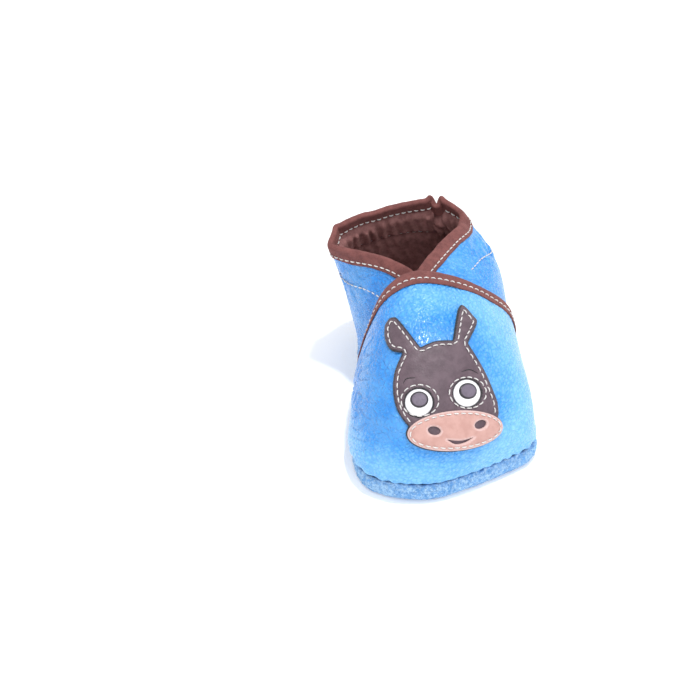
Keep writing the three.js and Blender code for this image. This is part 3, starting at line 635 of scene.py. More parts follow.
def suede_material(name, light, mid, dark):
    """Split suede: mottled, brushed and fuzzy."""
    m = Nodes(name, mid, 0.95)
    patches = m.spread(m.noise(1.3, 6, rough=0.75), 0.42, 0.62)
    flecks = m.spread(m.noise(0.8, 4, rough=0.7), 0.5, 0.64)
    brushed = m.spread(m.noise(5), 0.35, 0.65)
    base = m.mix(patches, mid, light)
    base = m.mix(m.math("MULTIPLY", flecks, 0.6), base, dark)
    m.color(m.mix(m.math("MULTIPLY", brushed, 0.3), base, light))
    m.bump((m.noise(0.7, 5, rough=0.75), 0.35), (m.noise(0.16, 3, rough=0.7), 0.12))
    return m.finish(Sheen_Weight=0.6, Sheen_Roughness=0.4, Sheen_Tint=(*light, 1), Specular_IOR_Level=0.2)


def thread_material(name, light, dark):
    """Twisted thread: the plies wind round each stitch in the UV."""
    m = Nodes(name, light, 0.6)
    plies = m.add("ShaderNodeTexWave", wave_type="BANDS", bands_direction="DIAGONAL")
    m.link(m.uv, plies.inputs["Vector"])
    m.set(plies, "Scale", 0.9)
    m.set(plies, "Distortion", 0.4)
    fluff = m.spread(m.noise(0.5, 3), 0.3, 0.7)
    shade = m.spread(plies.outputs["Fac"], 0.1, 0.6)
    m.color(m.mix(m.math("MULTIPLY", m.math("MULTIPLY", shade, fluff), 0.9, clamp=True), dark, light))
    m.bump((plies.outputs["Fac"], 0.08), (m.noise(0.12, 2), 0.03))
    return m.finish(Sheen_Weight=0.2)


def foam_material(name, light, dark):
    """Fine-celled foam."""
    m = Nodes(name, light, 0.9)
    m.color(m.mix(m.spread(m.noise(1.2, 4), 0.3, 0.7), dark, light))
    m.bump((m.cells(0.5), 0.12), (m.noise(3), 0.2))
    return m.material


def elastic_material(name, light, dark):
    """Knitted elastic: ribs along the band, in the UV."""
    m = Nodes(name, light, 0.8)
    ribs = m.add("ShaderNodeTexWave", wave_type="BANDS", bands_direction="Y")
    m.link(m.uv, ribs.inputs["Vector"])
    m.set(ribs, "Scale", 0.45)
    m.color(m.mix(ribs.outputs["Fac"], dark, light))
    m.bump((ribs.outputs["Fac"], 0.2), (m.noise(0.3, 2), 0.05))
    return m.material


GRAIN_STRETCH = (1, 1, 1.35)  # the pebbles are wider than they are tall
BLUE_LIGHT = srgb(36, 146, 232)
# the darker blue is painted shade for the pebble creases and the wrinkles
BLUE_CREASE_SHADE = srgb(30, 104, 188)
# pale blue for random worn patches, and for the painted highlight where the leather is stretched
BLUE_WORN_AND_HIGHLIGHT = srgb(134, 198, 238)
# painted shade for the groove above the sole's seam
SEAM_SHADE = srgb(26, 46, 84)

blue_leather = leather_material("blue_leather_look", BLUE_LIGHT, BLUE_CREASE_SHADE, BLUE_WORN_AND_HIGHLIGHT, 0.3)
brown_leather = cut_leather_material(
    "brown_leather_look", srgb(96, 78, 88), srgb(80, 63, 73), srgb(14, 12, 20), 0.5)
pupil_leather = cut_leather_material(
    "pupil_leather_look", srgb(112, 102, 118), srgb(94, 85, 100), srgb(20, 16, 26), 0.34)
tan_leather = cut_leather_material(
    "tan_leather_look", srgb(197, 155, 147), srgb(184, 140, 132), srgb(208, 176, 172), 0.6)
white_leather = cut_leather_material(
    "white_leather_look", srgb(250, 250, 253), srgb(238, 239, 243), srgb(188, 186, 190), 0.5)
binding_cotton = cotton_material(
    "binding_cotton_look", srgb(122, 72, 69), srgb(98, 54, 53), srgb(146, 98, 94))
lining_cotton = cotton_material(
    "lining_cotton_look", srgb(164, 116, 114), srgb(124, 82, 81), srgb(172, 124, 118))
blue_suede = suede_material("blue_suede_look", srgb(176, 214, 246), srgb(98, 158, 220), srgb(44, 96, 168))
sewing_thread = thread_material("thread_look", srgb(255, 254, 253), srgb(238, 235, 234))
pad_foam = foam_material("foam_look", srgb(232, 226, 210), srgb(206, 198, 178))
knit_elastic = elastic_material("elastic_look", srgb(236, 234, 230), srgb(190, 188, 184))

# ---------------------------------------------------------------- the leather upper

VAMP_COLUMNS = 400
VAMP_ROWS = 177
QUARTER_COLUMNS = 600
QUARTER_ROWS = 153
INNER_EVERY = 4  # the flesh side has one row for each so many of the outer side
FOOT_SINK = 1.3  # how far the upper's foot goes down inside the sole's edge
FOOT_SINK_REACH = 2  # how far up the upper goes on being sunk
SEAM_TUCK = 4.6  # from one tuck of the sole's seam to the next
RUFFLE = 6.2  # from one gather of the leather over the elastic to the next
LINING_FOLD = 3.9  # from one upright fold of the lining to the next
PEBBLE = 1.6  # the size of the leather's pebbles
FINE_PEBBLE = 0.8
PATCH = 9  # the size of the patches where the grain is stronger or weaker
WAVE = 12  # the size of the leather's broad waves


def from_rim(points):
    """The distance of each point of a grid from the rim, up its own column."""
    steps = np.linalg.norm(np.diff(points, axis=1), axis=-1)
    return np.cumsum(np.concatenate([np.zeros((len(points), 1)), steps], axis=1), axis=1)


def seam_tucks(run):
    """The small tucks of the sole's seam, from -1 to 1, in the leather and in the suede."""
    wander = 0.9 * np.sin(run / 13) + 0.6 * np.sin(run / 5.7 + 1)
    return np.cos(2 * math.pi * run / SEAM_TUCK + 2 * wander) * (0.6 + 0.4 * np.sin(run / 9 + 2))


def rim_puckers(low, run):
    """The leather's swell above the sole's seam, the groove there, and the small tucks in it."""
    swell = 0.45 * bell(low - 2.9, 1.8)
    groove = 1.3 * (1 - smoothstep(low, 0.8, 2.2))
    return swell - groove + 0.3 * seam_tucks(run) * bell(low - 2.0, 1.6)


def seam_shade(low):
    """What the tint loses in the groove above the sole: painted shade that darkens the seam."""
    return 2.4 * (1 - smoothstep(low, 0.9, 1.9))


def pinch(edge):
    """The sewn edge is squeezed thinner: 1 well below the edge and less up at the fold."""
    return 0.6 + 0.4 * smoothstep(edge, 1.5, 8)


def casing_seam(u):
    """How far below the collar's edge the seam under the elastic lies."""
    ends, back = CASING_SEAM
    return ends + (back - ends) * (smoothstep(u, 0.15, 0.45) - smoothstep(u, 0.74, 0.88))


def gather_wander(run):
    """What keeps the gathers over the elastic from being evenly spaced."""
    return 1.6 * np.sin(run / 17) + 1.1 * np.sin(run / 7.3 + 2)


def vamp_relief(u, points, edge, run):
    """The vamp's height over its skin, and its tint, with painted shade in the pebble creases, the wrinkles
    and the groove above the sole, and a painted highlight where the leather is stretched.
    """
    low = from_rim(points)
    tops = pebbles(points * np.array(GRAIN_STRETCH), PEBBLE)
    fine = pebbles(points + 40, FINE_PEBBLE)
    patchy = smoothstep(grain(points, PATCH, 2.0), -0.7, 0.5)
    calm = 0.35 + 0.65 * smoothstep(low, 4, 16)
    flat = smoothstep(edge, 3.6, 6.5)
    left = (1 - smoothstep(u, 0.2, 0.45)) * smoothstep(low, 4, 12) * smoothstep(edge, 8, 16)
    x, y, z = (points[..., k] for k in range(3))
    slant = np.stack([x * 0.5, y * 0.5, z + 0.55 * y], -1)
    folds = 1 - np.abs(grain(slant, 4.2, 6.0))
    tufts = 0.12 * (tops - 0.5) * calm * (0.55 + 0.45 * patchy) + 0.02 * (fine - 0.5)
    wrinkles = -0.55 * smoothstep(folds, 0.66, 1.0) * left
    waves = 0.22 * grain(points, WAVE, 1.0) * flat * smoothstep(low, 2, 8)
    height = (tufts + wrinkles) * (0.3 + 0.7 * flat) + waves + rim_puckers(low, run)
    height += 0.8 * bell(low - 5, 4) * smoothstep(u, 0.14, 0.22) * (1 - smoothstep(u, 0.38, 0.46))
    height -= 0.35 * (1 - smoothstep(edge, 0, 4.2))
    # stretched: smoother leather near the foot, to the right and at the top middle; its lighter colour
    # there is a painted highlight
    stretched = 0.85 * (1 - smoothstep(low, 6, 22)) + 0.9 * smoothstep(u, 0.58, 0.76)
    stretched = np.clip(stretched + 0.7 * bell(edge - 12, 9) * bell(u - 0.52, 0.17), 0, 1)
    # tint: the pebble creases and the wrinkles on the left take painted shade, stretched adds the painted
    # highlight, and the groove above the sole takes painted shade
    return height, 0.55 + 0.45 * tops * (1 + 1.2 * wrinkles) + stretched - seam_shade(low)


def quarter_relief(u, points, edge, run):
    """The heel piece's height over its skin, and its tint, with painted shade in the pebble creases and the
    groove above the sole, and a painted highlight towards the right.
    """
    low = from_rim(points)
    tops = pebbles(points * np.array(GRAIN_STRETCH) + 11, PEBBLE)
    patchy = smoothstep(grain(points, PATCH, 5.0), -0.7, 0.5)
    flat = smoothstep(edge, 5.6, 8.2)
    held = smoothstep(u, 0.15, 0.24) * (1 - smoothstep(u, 0.78, 0.86))
    ruffle = np.cos(2 * math.pi * run / RUFFLE + gather_wander(run)) * (0.65 + 0.35 * np.sin(run / 8 + 1))
    band = bell(edge - 12, 4.6)
    below = bell(edge - 22, 5) * 0.35
    gathers = 0.42 * ruffle * held * (band + below) * flat
    sewn = smoothstep(u, 0.12, 0.16) * (1 - smoothstep(u, 0.84, 0.88))
    seam = -0.4 * bell(edge - casing_seam(u), 0.8) * sewn
    corner = bell(u - 0.8, 0.055) * bell(edge - 14, 8)
    folds = 1 - np.abs(grain(points * np.array([1, 0.6, 0.8]), 5.2, 9.0))
    corner = np.maximum(corner, 0.55 * bell(u - 0.17, 0.09) * bell(edge - 14, 10))
    crumple = -0.95 * smoothstep(folds, 0.7, 1.0) * corner + 0.7 * grain(points, 5, 3.0) * corner
    tufts = 0.11 * (tops - 0.5) * (0.55 + 0.45 * patchy)
    waves = 0.2 * grain(points, WAVE, 8.0) * flat * smoothstep(low, 2, 8)
    height = tufts * (0.3 + 0.7 * flat) + gathers + seam + crumple * flat + waves
    height += rim_puckers(low, run)
    height -= 0.3 * (1 - smoothstep(edge, 0, 6))
    # stretched: smoother leather towards the right, whose lighter colour is a painted highlight
    stretched = 0.35 * smoothstep(u, 0.6, 0.85)
    # tint: painted shade in the pebble creases and the groove above the sole, and the painted highlight
    # towards the right
    return height, 0.55 + 0.45 * tops + stretched - seam_shade(low)


def leather_piece(name, node, skin, columns, rows, relief):
    """One leather panel: a fine outer face with its grain, and a plain flesh side."""
    u = np.linspace(0, 1, columns + 1)
    points, normal, edge, run = surface_grid(skin, u, np.linspace(0, 1, rows))
    height, tint = relief(np.broadcast_to(u[:, None], edge.shape), points, edge, run)
    sunk = FOOT_SINK * (1 - smoothstep(from_rim(points), 0, FOOT_SINK_REACH))[..., None] * [0, 0, 1]
    outer = points + normal * height[..., None] - sunk
    inner = (points - normal * (LEATHER * pinch(edge))[..., None] - sunk)[:, ::INNER_EVERY]
    piece = shell_object(name, outer, inner, skin.facing, blue_leather, np.stack([run, -edge], -1), tint)
    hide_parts(node)


leather_piece("vamp_leather", "vamp", vamp_skin, VAMP_COLUMNS, VAMP_ROWS, vamp_relief)
leather_piece("heel_leather", "heel_quarter", quarter_skin, QUARTER_COLUMNS, QUARTER_ROWS, quarter_relief)

# ---------------------------------------------------------------- linings and the elastic


def sheet_area(points):
    """The area of a grid of points, in square metres."""
    a, b, c, d = points[:-1, :-1], points[1:, :-1], points[1:, 1:], points[:-1, 1:]
    return np.linalg.norm(np.cross(c - a, d - b), axis=-1).sum() / 2 * MM * MM


def vamp_lining_drape(u, points, edge, run):
    """How deep the vamp's lining lies: close behind the leather, a little uneven."""
    return LINING_TOP + 0.25 + 0.25 * grain(points, 7, 21.0)


def quarter_lining_drape(u, points, edge, run):
    """The lining stands off the leather over the elastic, gathered into upright folds."""
    held = smoothstep(u, 0.15, 0.22) * (1 - smoothstep(u, 0.78, 0.86))
    lean = 0.25 * edge * np.sin(run / 21)
    turn = 2 * math.pi * (run + lean) / LINING_FOLD + gather_wander(run)
    ruffle = np.cos(turn + 1.2 * grain(points, 6, 31.0))
    ruffle = smoothstep(ruffle, -1.0, 1.0) * (0.65 + 0.35 * np.sin(run / 6.3 + 2.2))
    foot = casing_seam(u)
    casing = smoothstep(edge, 4.6, 7.8) * (1 - smoothstep(edge - foot, -3, -0.3))
    loose = smoothstep(edge - foot, 0.3, 3.5) * (1 - smoothstep(edge, 26, 42))
    soft = 0.3 * grain(points, 8, 12.0)
    foot_in = 0.9 * (1 - smoothstep(from_rim(points), 1, 6))
    folds = held * (casing * (ELASTIC + GAP + 0.15 + 1.35 * ruffle) + loose * (0.4 + 0.7 * ruffle))
    return LINING_TOP + 0.12 + foot_in + np.maximum(folds + soft * smoothstep(edge, 5, 8), 0)


def lining_piece(name, node, skin, size, ends, drape):
    """A lining inside the upper. ends are where it starts and stops along u and up v."""
    u = np.linspace(ends[0], ends[1], size[0] + 1)
    points, normal, edge, run = surface_grid(skin, u, np.linspace(ends[2], ends[3], size[1]))
    depth = drape(np.broadcast_to(u[:, None], edge.shape), points, edge, run)
    outer = points - normal * (depth * pinch(edge))[..., None]
    inner = points - normal * ((depth + LINING) * pinch(edge))[..., None]
    piece = shell_object(name, outer, inner, skin.facing, lining_cotton, np.stack([run, -edge], -1))
    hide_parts(node)
    return piece, sheet_area(outer)


vamp_lining, area = lining_piece(
    "vamp_lining_cloth", "vamp_lining", vamp_skin, (110, 61), (0.02, 0.98, 0.03, 0.985), vamp_lining_drape)

heel_lining, area = lining_piece(
    "heel_lining_cloth", "quarter_lining", quarter_skin, (420, 97), (0.0, 1.0, 0.05, 0.985),
    quarter_lining_drape)


def elastic_band():
    """The flat knitted elastic in its casing."""
    columns, rows = 260, 13
    u = np.linspace(ELASTIC_FROM, ELASTIC_TO, columns + 1)
    down = np.linspace(ELASTIC_FOOT, ELASTIC_TOP, rows)
    v = np.stack([quarter_skin.down(u, distance) for distance in down], axis=1)
    points = quarter_skin.at(u[:, None], v)
    normal = quarter_skin.normal(u[:, None], v)
    ribs = 0.05 * np.cos(np.arange(rows) * math.pi)
    outer = points - normal * (LINING_TOP - ribs)[None, :, None]
    inner = points - normal * (LINING_TOP + ELASTIC - 0.1 + ribs)[None, :, None]
    run = np.broadcast_to(arc_lengths(points[:, rows // 2])[:, None], v.shape)
    uv = np.stack([run, np.broadcast_to(-down, v.shape)], -1)
    piece = shell_object("elastic_band", outer, inner, -1, knit_elastic, uv)
    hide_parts("ankle_elastic")


elastic_band()

# ---------------------------------------------------------------- binding tapes


TAPE_BACK = 12  # how many points of the dense section are on the folded-in side


def tape_section(width, seam):
    """A folded tape's section: pairs of distance down from the edge and height over the leather."""
    low = -TAPE_DEPTH
    inside = width - 0.6
    outer = [
        (width - 0.1, 0.02), (width + 0.08, 0.28), (width - 0.12, 0.56), (width - 0.45, 0.68),
        (seam + 0.5, 0.6), (seam, 0.42), (seam - 0.5, 0.6), (seam * 0.55, 0.68),
        (0.9, 0.66), (0.1, 0.58),
    ]
    fold = [(-0.45, 0.3), (-0.68, -0.25), (-0.72, -1.0), (-0.66, -1.9), (-0.4, -2.5)]
    inner = [
        (0.1, low + 0.02), (1.2, low), (seam - 0.5, low + 0.06), (seam, low + 0.22),
        (seam + 0.5, low + 0.08), (inside, low + 0.12), (inside + 0.12, low + 0.34),
        (inside - 0.2, low + 0.5),
    ]
    back = [
        (width * 0.5, low + 0.5), (0.3, low + 0.52), (-0.35, -1.7), (-0.4, -0.6), (-0.1, 0.12), (1.0, 0.14),
    ]
    return outer + fold + inner + back


def tape_piece(name, skin, width, seam, start, stop, columns, pucker):
    """A cotton tape folded over the top edge of a skin and stitched down."""
    section = np.array(tape_section(width, seam))
    section[:, 1] *= np.where(section[:, 1] < 0, pinch(section[:, 0]), 1)
    dense = []
    for k in range(len(section)):
        dense += [section[k], (section[k] + section[(k + 1) % len(section)]) / 2]
    section = np.array(dense)
    u = np.linspace(start, stop, columns + 1)
    edge_point, edge_normal = skin.at(u, 1), skin.normal(u, 1)
    outward = skin.slopes(u, 1)[1]
    outward /= np.linalg.norm(outward, axis=-1, keepdims=True)
    run = arc_lengths(edge_point)
    rings = []
    for distance, height in section:
        if distance < 0:
            ring = edge_point - outward * distance + edge_normal * height
        else:
            v = skin.down(u, distance)
            ring = skin.off(u, v, np.full(len(u), height))
        rings.append(ring)
    points = np.stack(rings, axis=1)
    middle = points.mean(axis=1, keepdims=True)
    away = points - middle
    away /= np.linalg.norm(away, axis=-1, keepdims=True)
    near_seam = bell(section[:, 0] - seam, 1.3)[None]
    # the folded-in side, which lies against the leather and the lining, isn't moved
    free = np.ones(len(section))
    free[-TAPE_BACK:] = 0
    crinkle = 0.1 * grain(points, 2.6, 14.0) + 0.12 * grain(points, 6, 19.0)
    phase = 2 * math.pi * run[:, None] / STITCH_PITCH
    drawn = -pucker * np.cos(phase) * near_seam
    points = points + away * ((crinkle + drawn) * free)[..., None]
    uv = np.stack(np.broadcast_arrays(run[:, None], arc_lengths(section)[None]), -1)
    faces = tube_faces(len(u), len(section))
    if skin.facing > 0:
        faces = [face[::-1] for face in faces]
    piece = make_object(name, points.reshape(-1, 3), faces, binding_cotton, uv.reshape(-1, 2))
    return piece


VAMP_SEAM = 3.8
COLLAR_SEAM = 4
vamp_tape = tape_piece("vamp_tape", vamp_skin, VAMP_TAPE_WIDTH, VAMP_SEAM, 0.004, 0.996, 300, 0.07)
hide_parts("vamp_binding")
collar_tape = tape_piece("collar_tape", quarter_skin, COLLAR_TAPE_WIDTH, COLLAR_SEAM, 0.0, 1.0, 520, 0.08)
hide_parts("collar_binding")

# ---------------------------------------------------------------- sole, pad and insole


def rim_frames(count):
    """The rim's points, its inward directions and its run, once round."""
    place = np.linspace(0, len(RIM), count, endpoint=False)
    rim = spline(RIM, place, closed=True)
    along = spline(RIM, place + 0.05, closed=True) - spline(RIM, (place - 0.05) % len(RIM), closed=True)
    along[:, 2] = 0
    along /= np.linalg.norm(along, axis=-1, keepdims=True)
    inward = np.stack([-along[:, 1], along[:, 0], 0 * along[:, 0]], -1)
    return rim, inward, arc_lengths(rim, closed=True)[:-1]


def ringed_piece(name, rings, material):
    """A closed piece from rings that go from the middle of its underside to the middle of its top."""
    count = rings[0].shape[0]
    points = np.concatenate([rings[0].mean(0)[None], *rings, rings[-1].mean(0)[None]])
    faces = []
    for k in range(len(rings) - 1):
        a = 1 + k * count + np.arange(count)
        b = np.roll(a, -1)
        faces += np.stack([a, b, b + count, a + count], -1).tolist()
    low = 1 + np.arange(count)
    high = low + (len(rings) - 1) * count
    last = len(points) - 1
    faces += [[0, int(j), int(i)] for i, j in zip(low, np.roll(low, -1))]
    faces += [[last, int(i), int(j)] for i, j in zip(high, np.roll(high, -1))]
    piece = make_object(name, points, faces, material)
    return piece


SOLE_COLUMNS = 900
FOOTBED_COLUMNS = 300
WALL_HEIGHT = 4.3  # the height that the sections of the sole's wall are drawn for
WALL_DRAWN_IN = 1.3  # how much further in the wall stands at the front left


def suede_sole():
    """The turned-up suede sole: its brushed wall, the raw top edge and the puckered seam."""
    rim, inward, run = rim_frames(SOLE_COLUMNS)
    flat, rise = rim * [1, 1, 0], rim[:, 2]
    walls = [
        (2.3, 0.08), (1.5, 0.2), (0.8, 0.38), (0.25, 0.62), (-0.2, 0.95), (-0.55, 1.35), (-0.8, 1.75),
        (-0.9, 2.15), (-0.86, 2.6), (-0.72, 3.05), (-0.5, 3.45), (-0.2, 3.85), (0.02, 4.15),
    ]
    rings = [flat + inward * inset for inset in (26, 20, 14, 9, 5.5, 3.4)]
    first_wall = len(rings)
    drawn_in = (1 - smoothstep(rim[:, 0], -31, -18)) * (1 - smoothstep(rim[:, 1], -22, -6))
    for inset, height in walls:
        z = height * (rise - GAP) / WALL_HEIGHT
        further = WALL_DRAWN_IN * drawn_in * smoothstep(height, 0, 2)
        rings.append(flat + inward * (inset + further)[:, None] + z[:, None] * [0, 0, 1])
    for inset, drop in ((0.12, -0.42), (0.4, -0.26), (0.8, -0.22), (1.3, -0.3), (1.6, -0.6)):
        rings.append(rim + inward * inset + np.array([0, 0, drop]))
    for inset, height in ((SUEDE + 0.3, 2.8), (SUEDE + 2.2, SUEDE), (14, SUEDE), (24, SUEDE)):
        rings.append(flat + inward * inset + np.array([0, 0, height]))
    tucks = seam_tucks(run)
    rough_rings = len(walls) + 3
    for k in range(first_wall - 1, first_wall + rough_rings):
        share = (k - first_wall + 1) / rough_rings
        nap = 0.2 * grain(rings[k], 1.1, 3.0) + 0.15 * grain(rings[k], 0.55, 8.0)
        nap = nap + 0.12 * grain(rings[k], 4, 5.0)
        drawn = 0.28 * tucks * smoothstep(share, 0.35, 0.9)
        out = (nap + drawn) * smoothstep(share, -0.05, 0.25)
        rings[k] = rings[k] - inward * out[:, None]
        lift = 0.22 * grain(rings[k], 2.4, 15.0) * smoothstep(share, 0.4, 0.9)
        rings[k][:, 2] = np.maximum(rings[k][:, 2] + lift, 0)
    piece = ringed_piece("suede_sole", rings, blue_suede)
    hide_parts("outsole")


def footbed(name, bottom, thickness, bulge, material):
    """A flat pad with a rounded edge, inside the sole. bulge is how far its top swells."""
    rim, inward, _ = rim_frames(FOOTBED_COLUMNS)
    flat = rim * [1, 1, 0] + inward * FOOTBED_INSET
    edge = thickness * 0.45
    levels = [
        (26, 0), (16, 0), (8, 0), (edge * 1.2, 0), (0.3 * edge, 0.15), (0, 0.5), (0.3 * edge, 0.85),
        (edge * 1.2, 1),
    ]
    rings = [flat + inward * more + np.array([0, 0, bottom + thickness * share]) for more, share in levels]
    for more in (2, 4, 6.5, 9.5, 13, 17, 21, 25):
        ring = flat + inward * more
        lumps = 0.12 * grain(ring, 7, bottom) * bulge
        ring[:, 2] = bottom + thickness + bulge * smoothstep(more, 0, 14) + lumps
        rings.append(ring)
    return ringed_piece(name, rings, material)


suede_sole()
FOOTBED_INSET = 5
PAD_BOTTOM, PAD_THICKNESS = SUEDE + GAP, 1.4
INSOLE_BOTTOM, INSOLE_THICKNESS = SUEDE + PAD_THICKNESS + 2 * GAP, 0.6
pad = footbed("foam_pad", PAD_BOTTOM, PAD_THICKNESS, 0.0, pad_foam)
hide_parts("cushion_pad")
insole = footbed("cotton_insole", INSOLE_BOTTOM, INSOLE_THICKNESS, 0.35, lining_cotton)
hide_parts("insole")

# ---------------------------------------------------------------- donkey face

FACE_MIDDLE = np.array([-4.2, -47.7, 38.5])
FACE_TURN = math.radians(-13)
FACE_TILT = math.radians(36)
FACE_OUT = np.array([
    math.sin(FACE_TURN) * math.cos(FACE_TILT),
    -math.cos(FACE_TURN) * math.cos(FACE_TILT),
    math.sin(FACE_TILT),
])
FACE_RIGHT = np.array([math.cos(FACE_TURN), math.sin(FACE_TURN), 0])
FACE_UP = np.cross(FACE_OUT, FACE_RIGHT)

HEAD_RUNS = [
    [(1, -14), (-7, -13.5), (-12.2, -10.4), (-16.2, -5.1), (-17.8, 0.7), (-17.7, 7.5), (-15.5, 14.2)],
    [(-15.5, 14.2), (-19.4, 15), (-21.5, 18.3), (-22.1, 22.9), (-20.9, 25.7), (-19.4, 26.4), (-17.4, 25.4),
     (-9.7, 16.3)],
    [(-9.7, 16.3), (-4.8, 18.7), (1.1, 19.4)],
    [(1.1, 19.4), (1.8, 26.5), (2.5, 31), (3.9, 32), (7.6, 28.5), (8.9, 26), (6.1, 18.8)],
    [(6.1, 18.8), (11.6, 10.6), (15.8, 2.4), (17.3, -2), (17, -6.5), (10, -12), (1, -14)],
]
EYES = {"left": (-9.2, -2.3), "right": (6.6, 1.7)}
EYE_RADIUS = 4.6
PUPILS = {"left": (-9.1, -1.3), "right": (6.8, 2.4)}
PUPIL_RADII = (3.0, 2.7)
EYE_SEAMS = {"left": (-8.9, -1.6), "right": (6.7, 1.8)}
EYE_SEAM_RADII = (6.1, 5.2)
MUZZLE_MIDDLE, MUZZLE_RADII, MUZZLE_TURN = (3.2, -10.9), (15.7, 6.5), math.radians(8)
NOSTRILS = [(-3.8, -11.3), (11.1, -8.5)]
NOSTRIL_RADII = (2.1, 1.4)
NOSTRIL_TURNS = (math.radians(-8), math.radians(22))
MOUTH = [(0.3, -14.0), (4.6, -14.1), (9.0, -12.8), (6.4, -14.6), (3.3, -15.4)]
BROWS = {
    "left": [(-14.7, 3.7), (-13.6, 5.4), (-10.8, 5.9)],
    "right": [(4.2, 8.7), (7.0, 9.6), (9.9, 8.5)],
}

APPLIQUE = 0.8
WHITE_TOP = GAP + 0.4
HEAD_TOP = GAP + APPLIQUE
MUZZLE_TOP = HEAD_TOP + GAP + APPLIQUE


def vamp_place(flat):
    """u and v of the places on the vamp behind points of the face's plane."""
    x, y = flat[:, 0], flat[:, 1]
    u, v = 0.53 + x / 90, 0.47 + y / 75
    for _ in range(8):
        away = vamp_skin.at(u, v) - FACE_MIDDLE
        miss_x, miss_y = x - away @ FACE_RIGHT, y - away @ FACE_UP
        du, dv = vamp_skin.slopes(u, v)
        a, b, c, d = du @ FACE_RIGHT, dv @ FACE_RIGHT, du @ FACE_UP, dv @ FACE_UP
        det = a * d - b * c
        u = np.clip(u + (d * miss_x - b * miss_y) / det, 0.05, 0.95)
        v = np.clip(v + (a * miss_y - c * miss_x) / det, 0.05, 0.98)
    return u, v


def even_loop(points, pitch, closed=True):
    """The same line with points a pitch apart."""
    points = np.asarray(points, float)
    if closed:
        points = np.concatenate([points, points[:1]])
    lengths = arc_lengths(points)
    count = max(int(round(lengths[-1] / pitch)), 8)
    at = np.linspace(0, lengths[-1], count + 1)[:count if closed else count + 1]
    return np.stack([np.interp(at, lengths, points[:, k]) for k in range(points.shape[1])], -1)


def ellipse(middle, radii, turn=0.0, steps=160):
    """An ellipse as a closed line of points."""
    angle = np.linspace(0, 2 * math.pi, steps, endpoint=False)
    x, y = radii[0] * np.cos(angle), radii[1] * np.sin(angle)
    return np.stack([middle[0] + x * math.cos(turn) - y * math.sin(turn),
                     middle[1] + x * math.sin(turn) + y * math.cos(turn)], -1)


def run_points(points, steps=12):
    """A smooth line through a few points."""
    return spline(points, np.linspace(0, len(points) - 1, steps * (len(points) - 1) + 1))


def distance_to(points, loop, closed=True):
    """Each point's distance to a line of points."""
    ends = np.roll(loop, -1, axis=0) if closed else loop[1:]
    starts = loop if closed else loop[:-1]
    best = np.full(len(points), np.inf)
    for a, b in zip(starts, ends):
        side = b - a
        share = np.clip(((points - a) @ side) / max(side @ side, 1e-12), 0, 1)
        best = np.minimum(best, np.linalg.norm(points - a - share[:, None] * side, axis=-1))
    return best


def inside(points, loop):
    """Whether each point lies inside a closed loop."""
    x, y = points[:, 0], points[:, 1]
    result = np.zeros(len(points), bool)
    for a, b in zip(loop, np.roll(loop, -1, axis=0)):
        crosses = (a[1] > y) != (b[1] > y)
        if a[1] != b[1]:
            result ^= crosses & (x < (b[0] - a[0]) * (y - a[1]) / (b[1] - a[1]) + a[0])
    return result


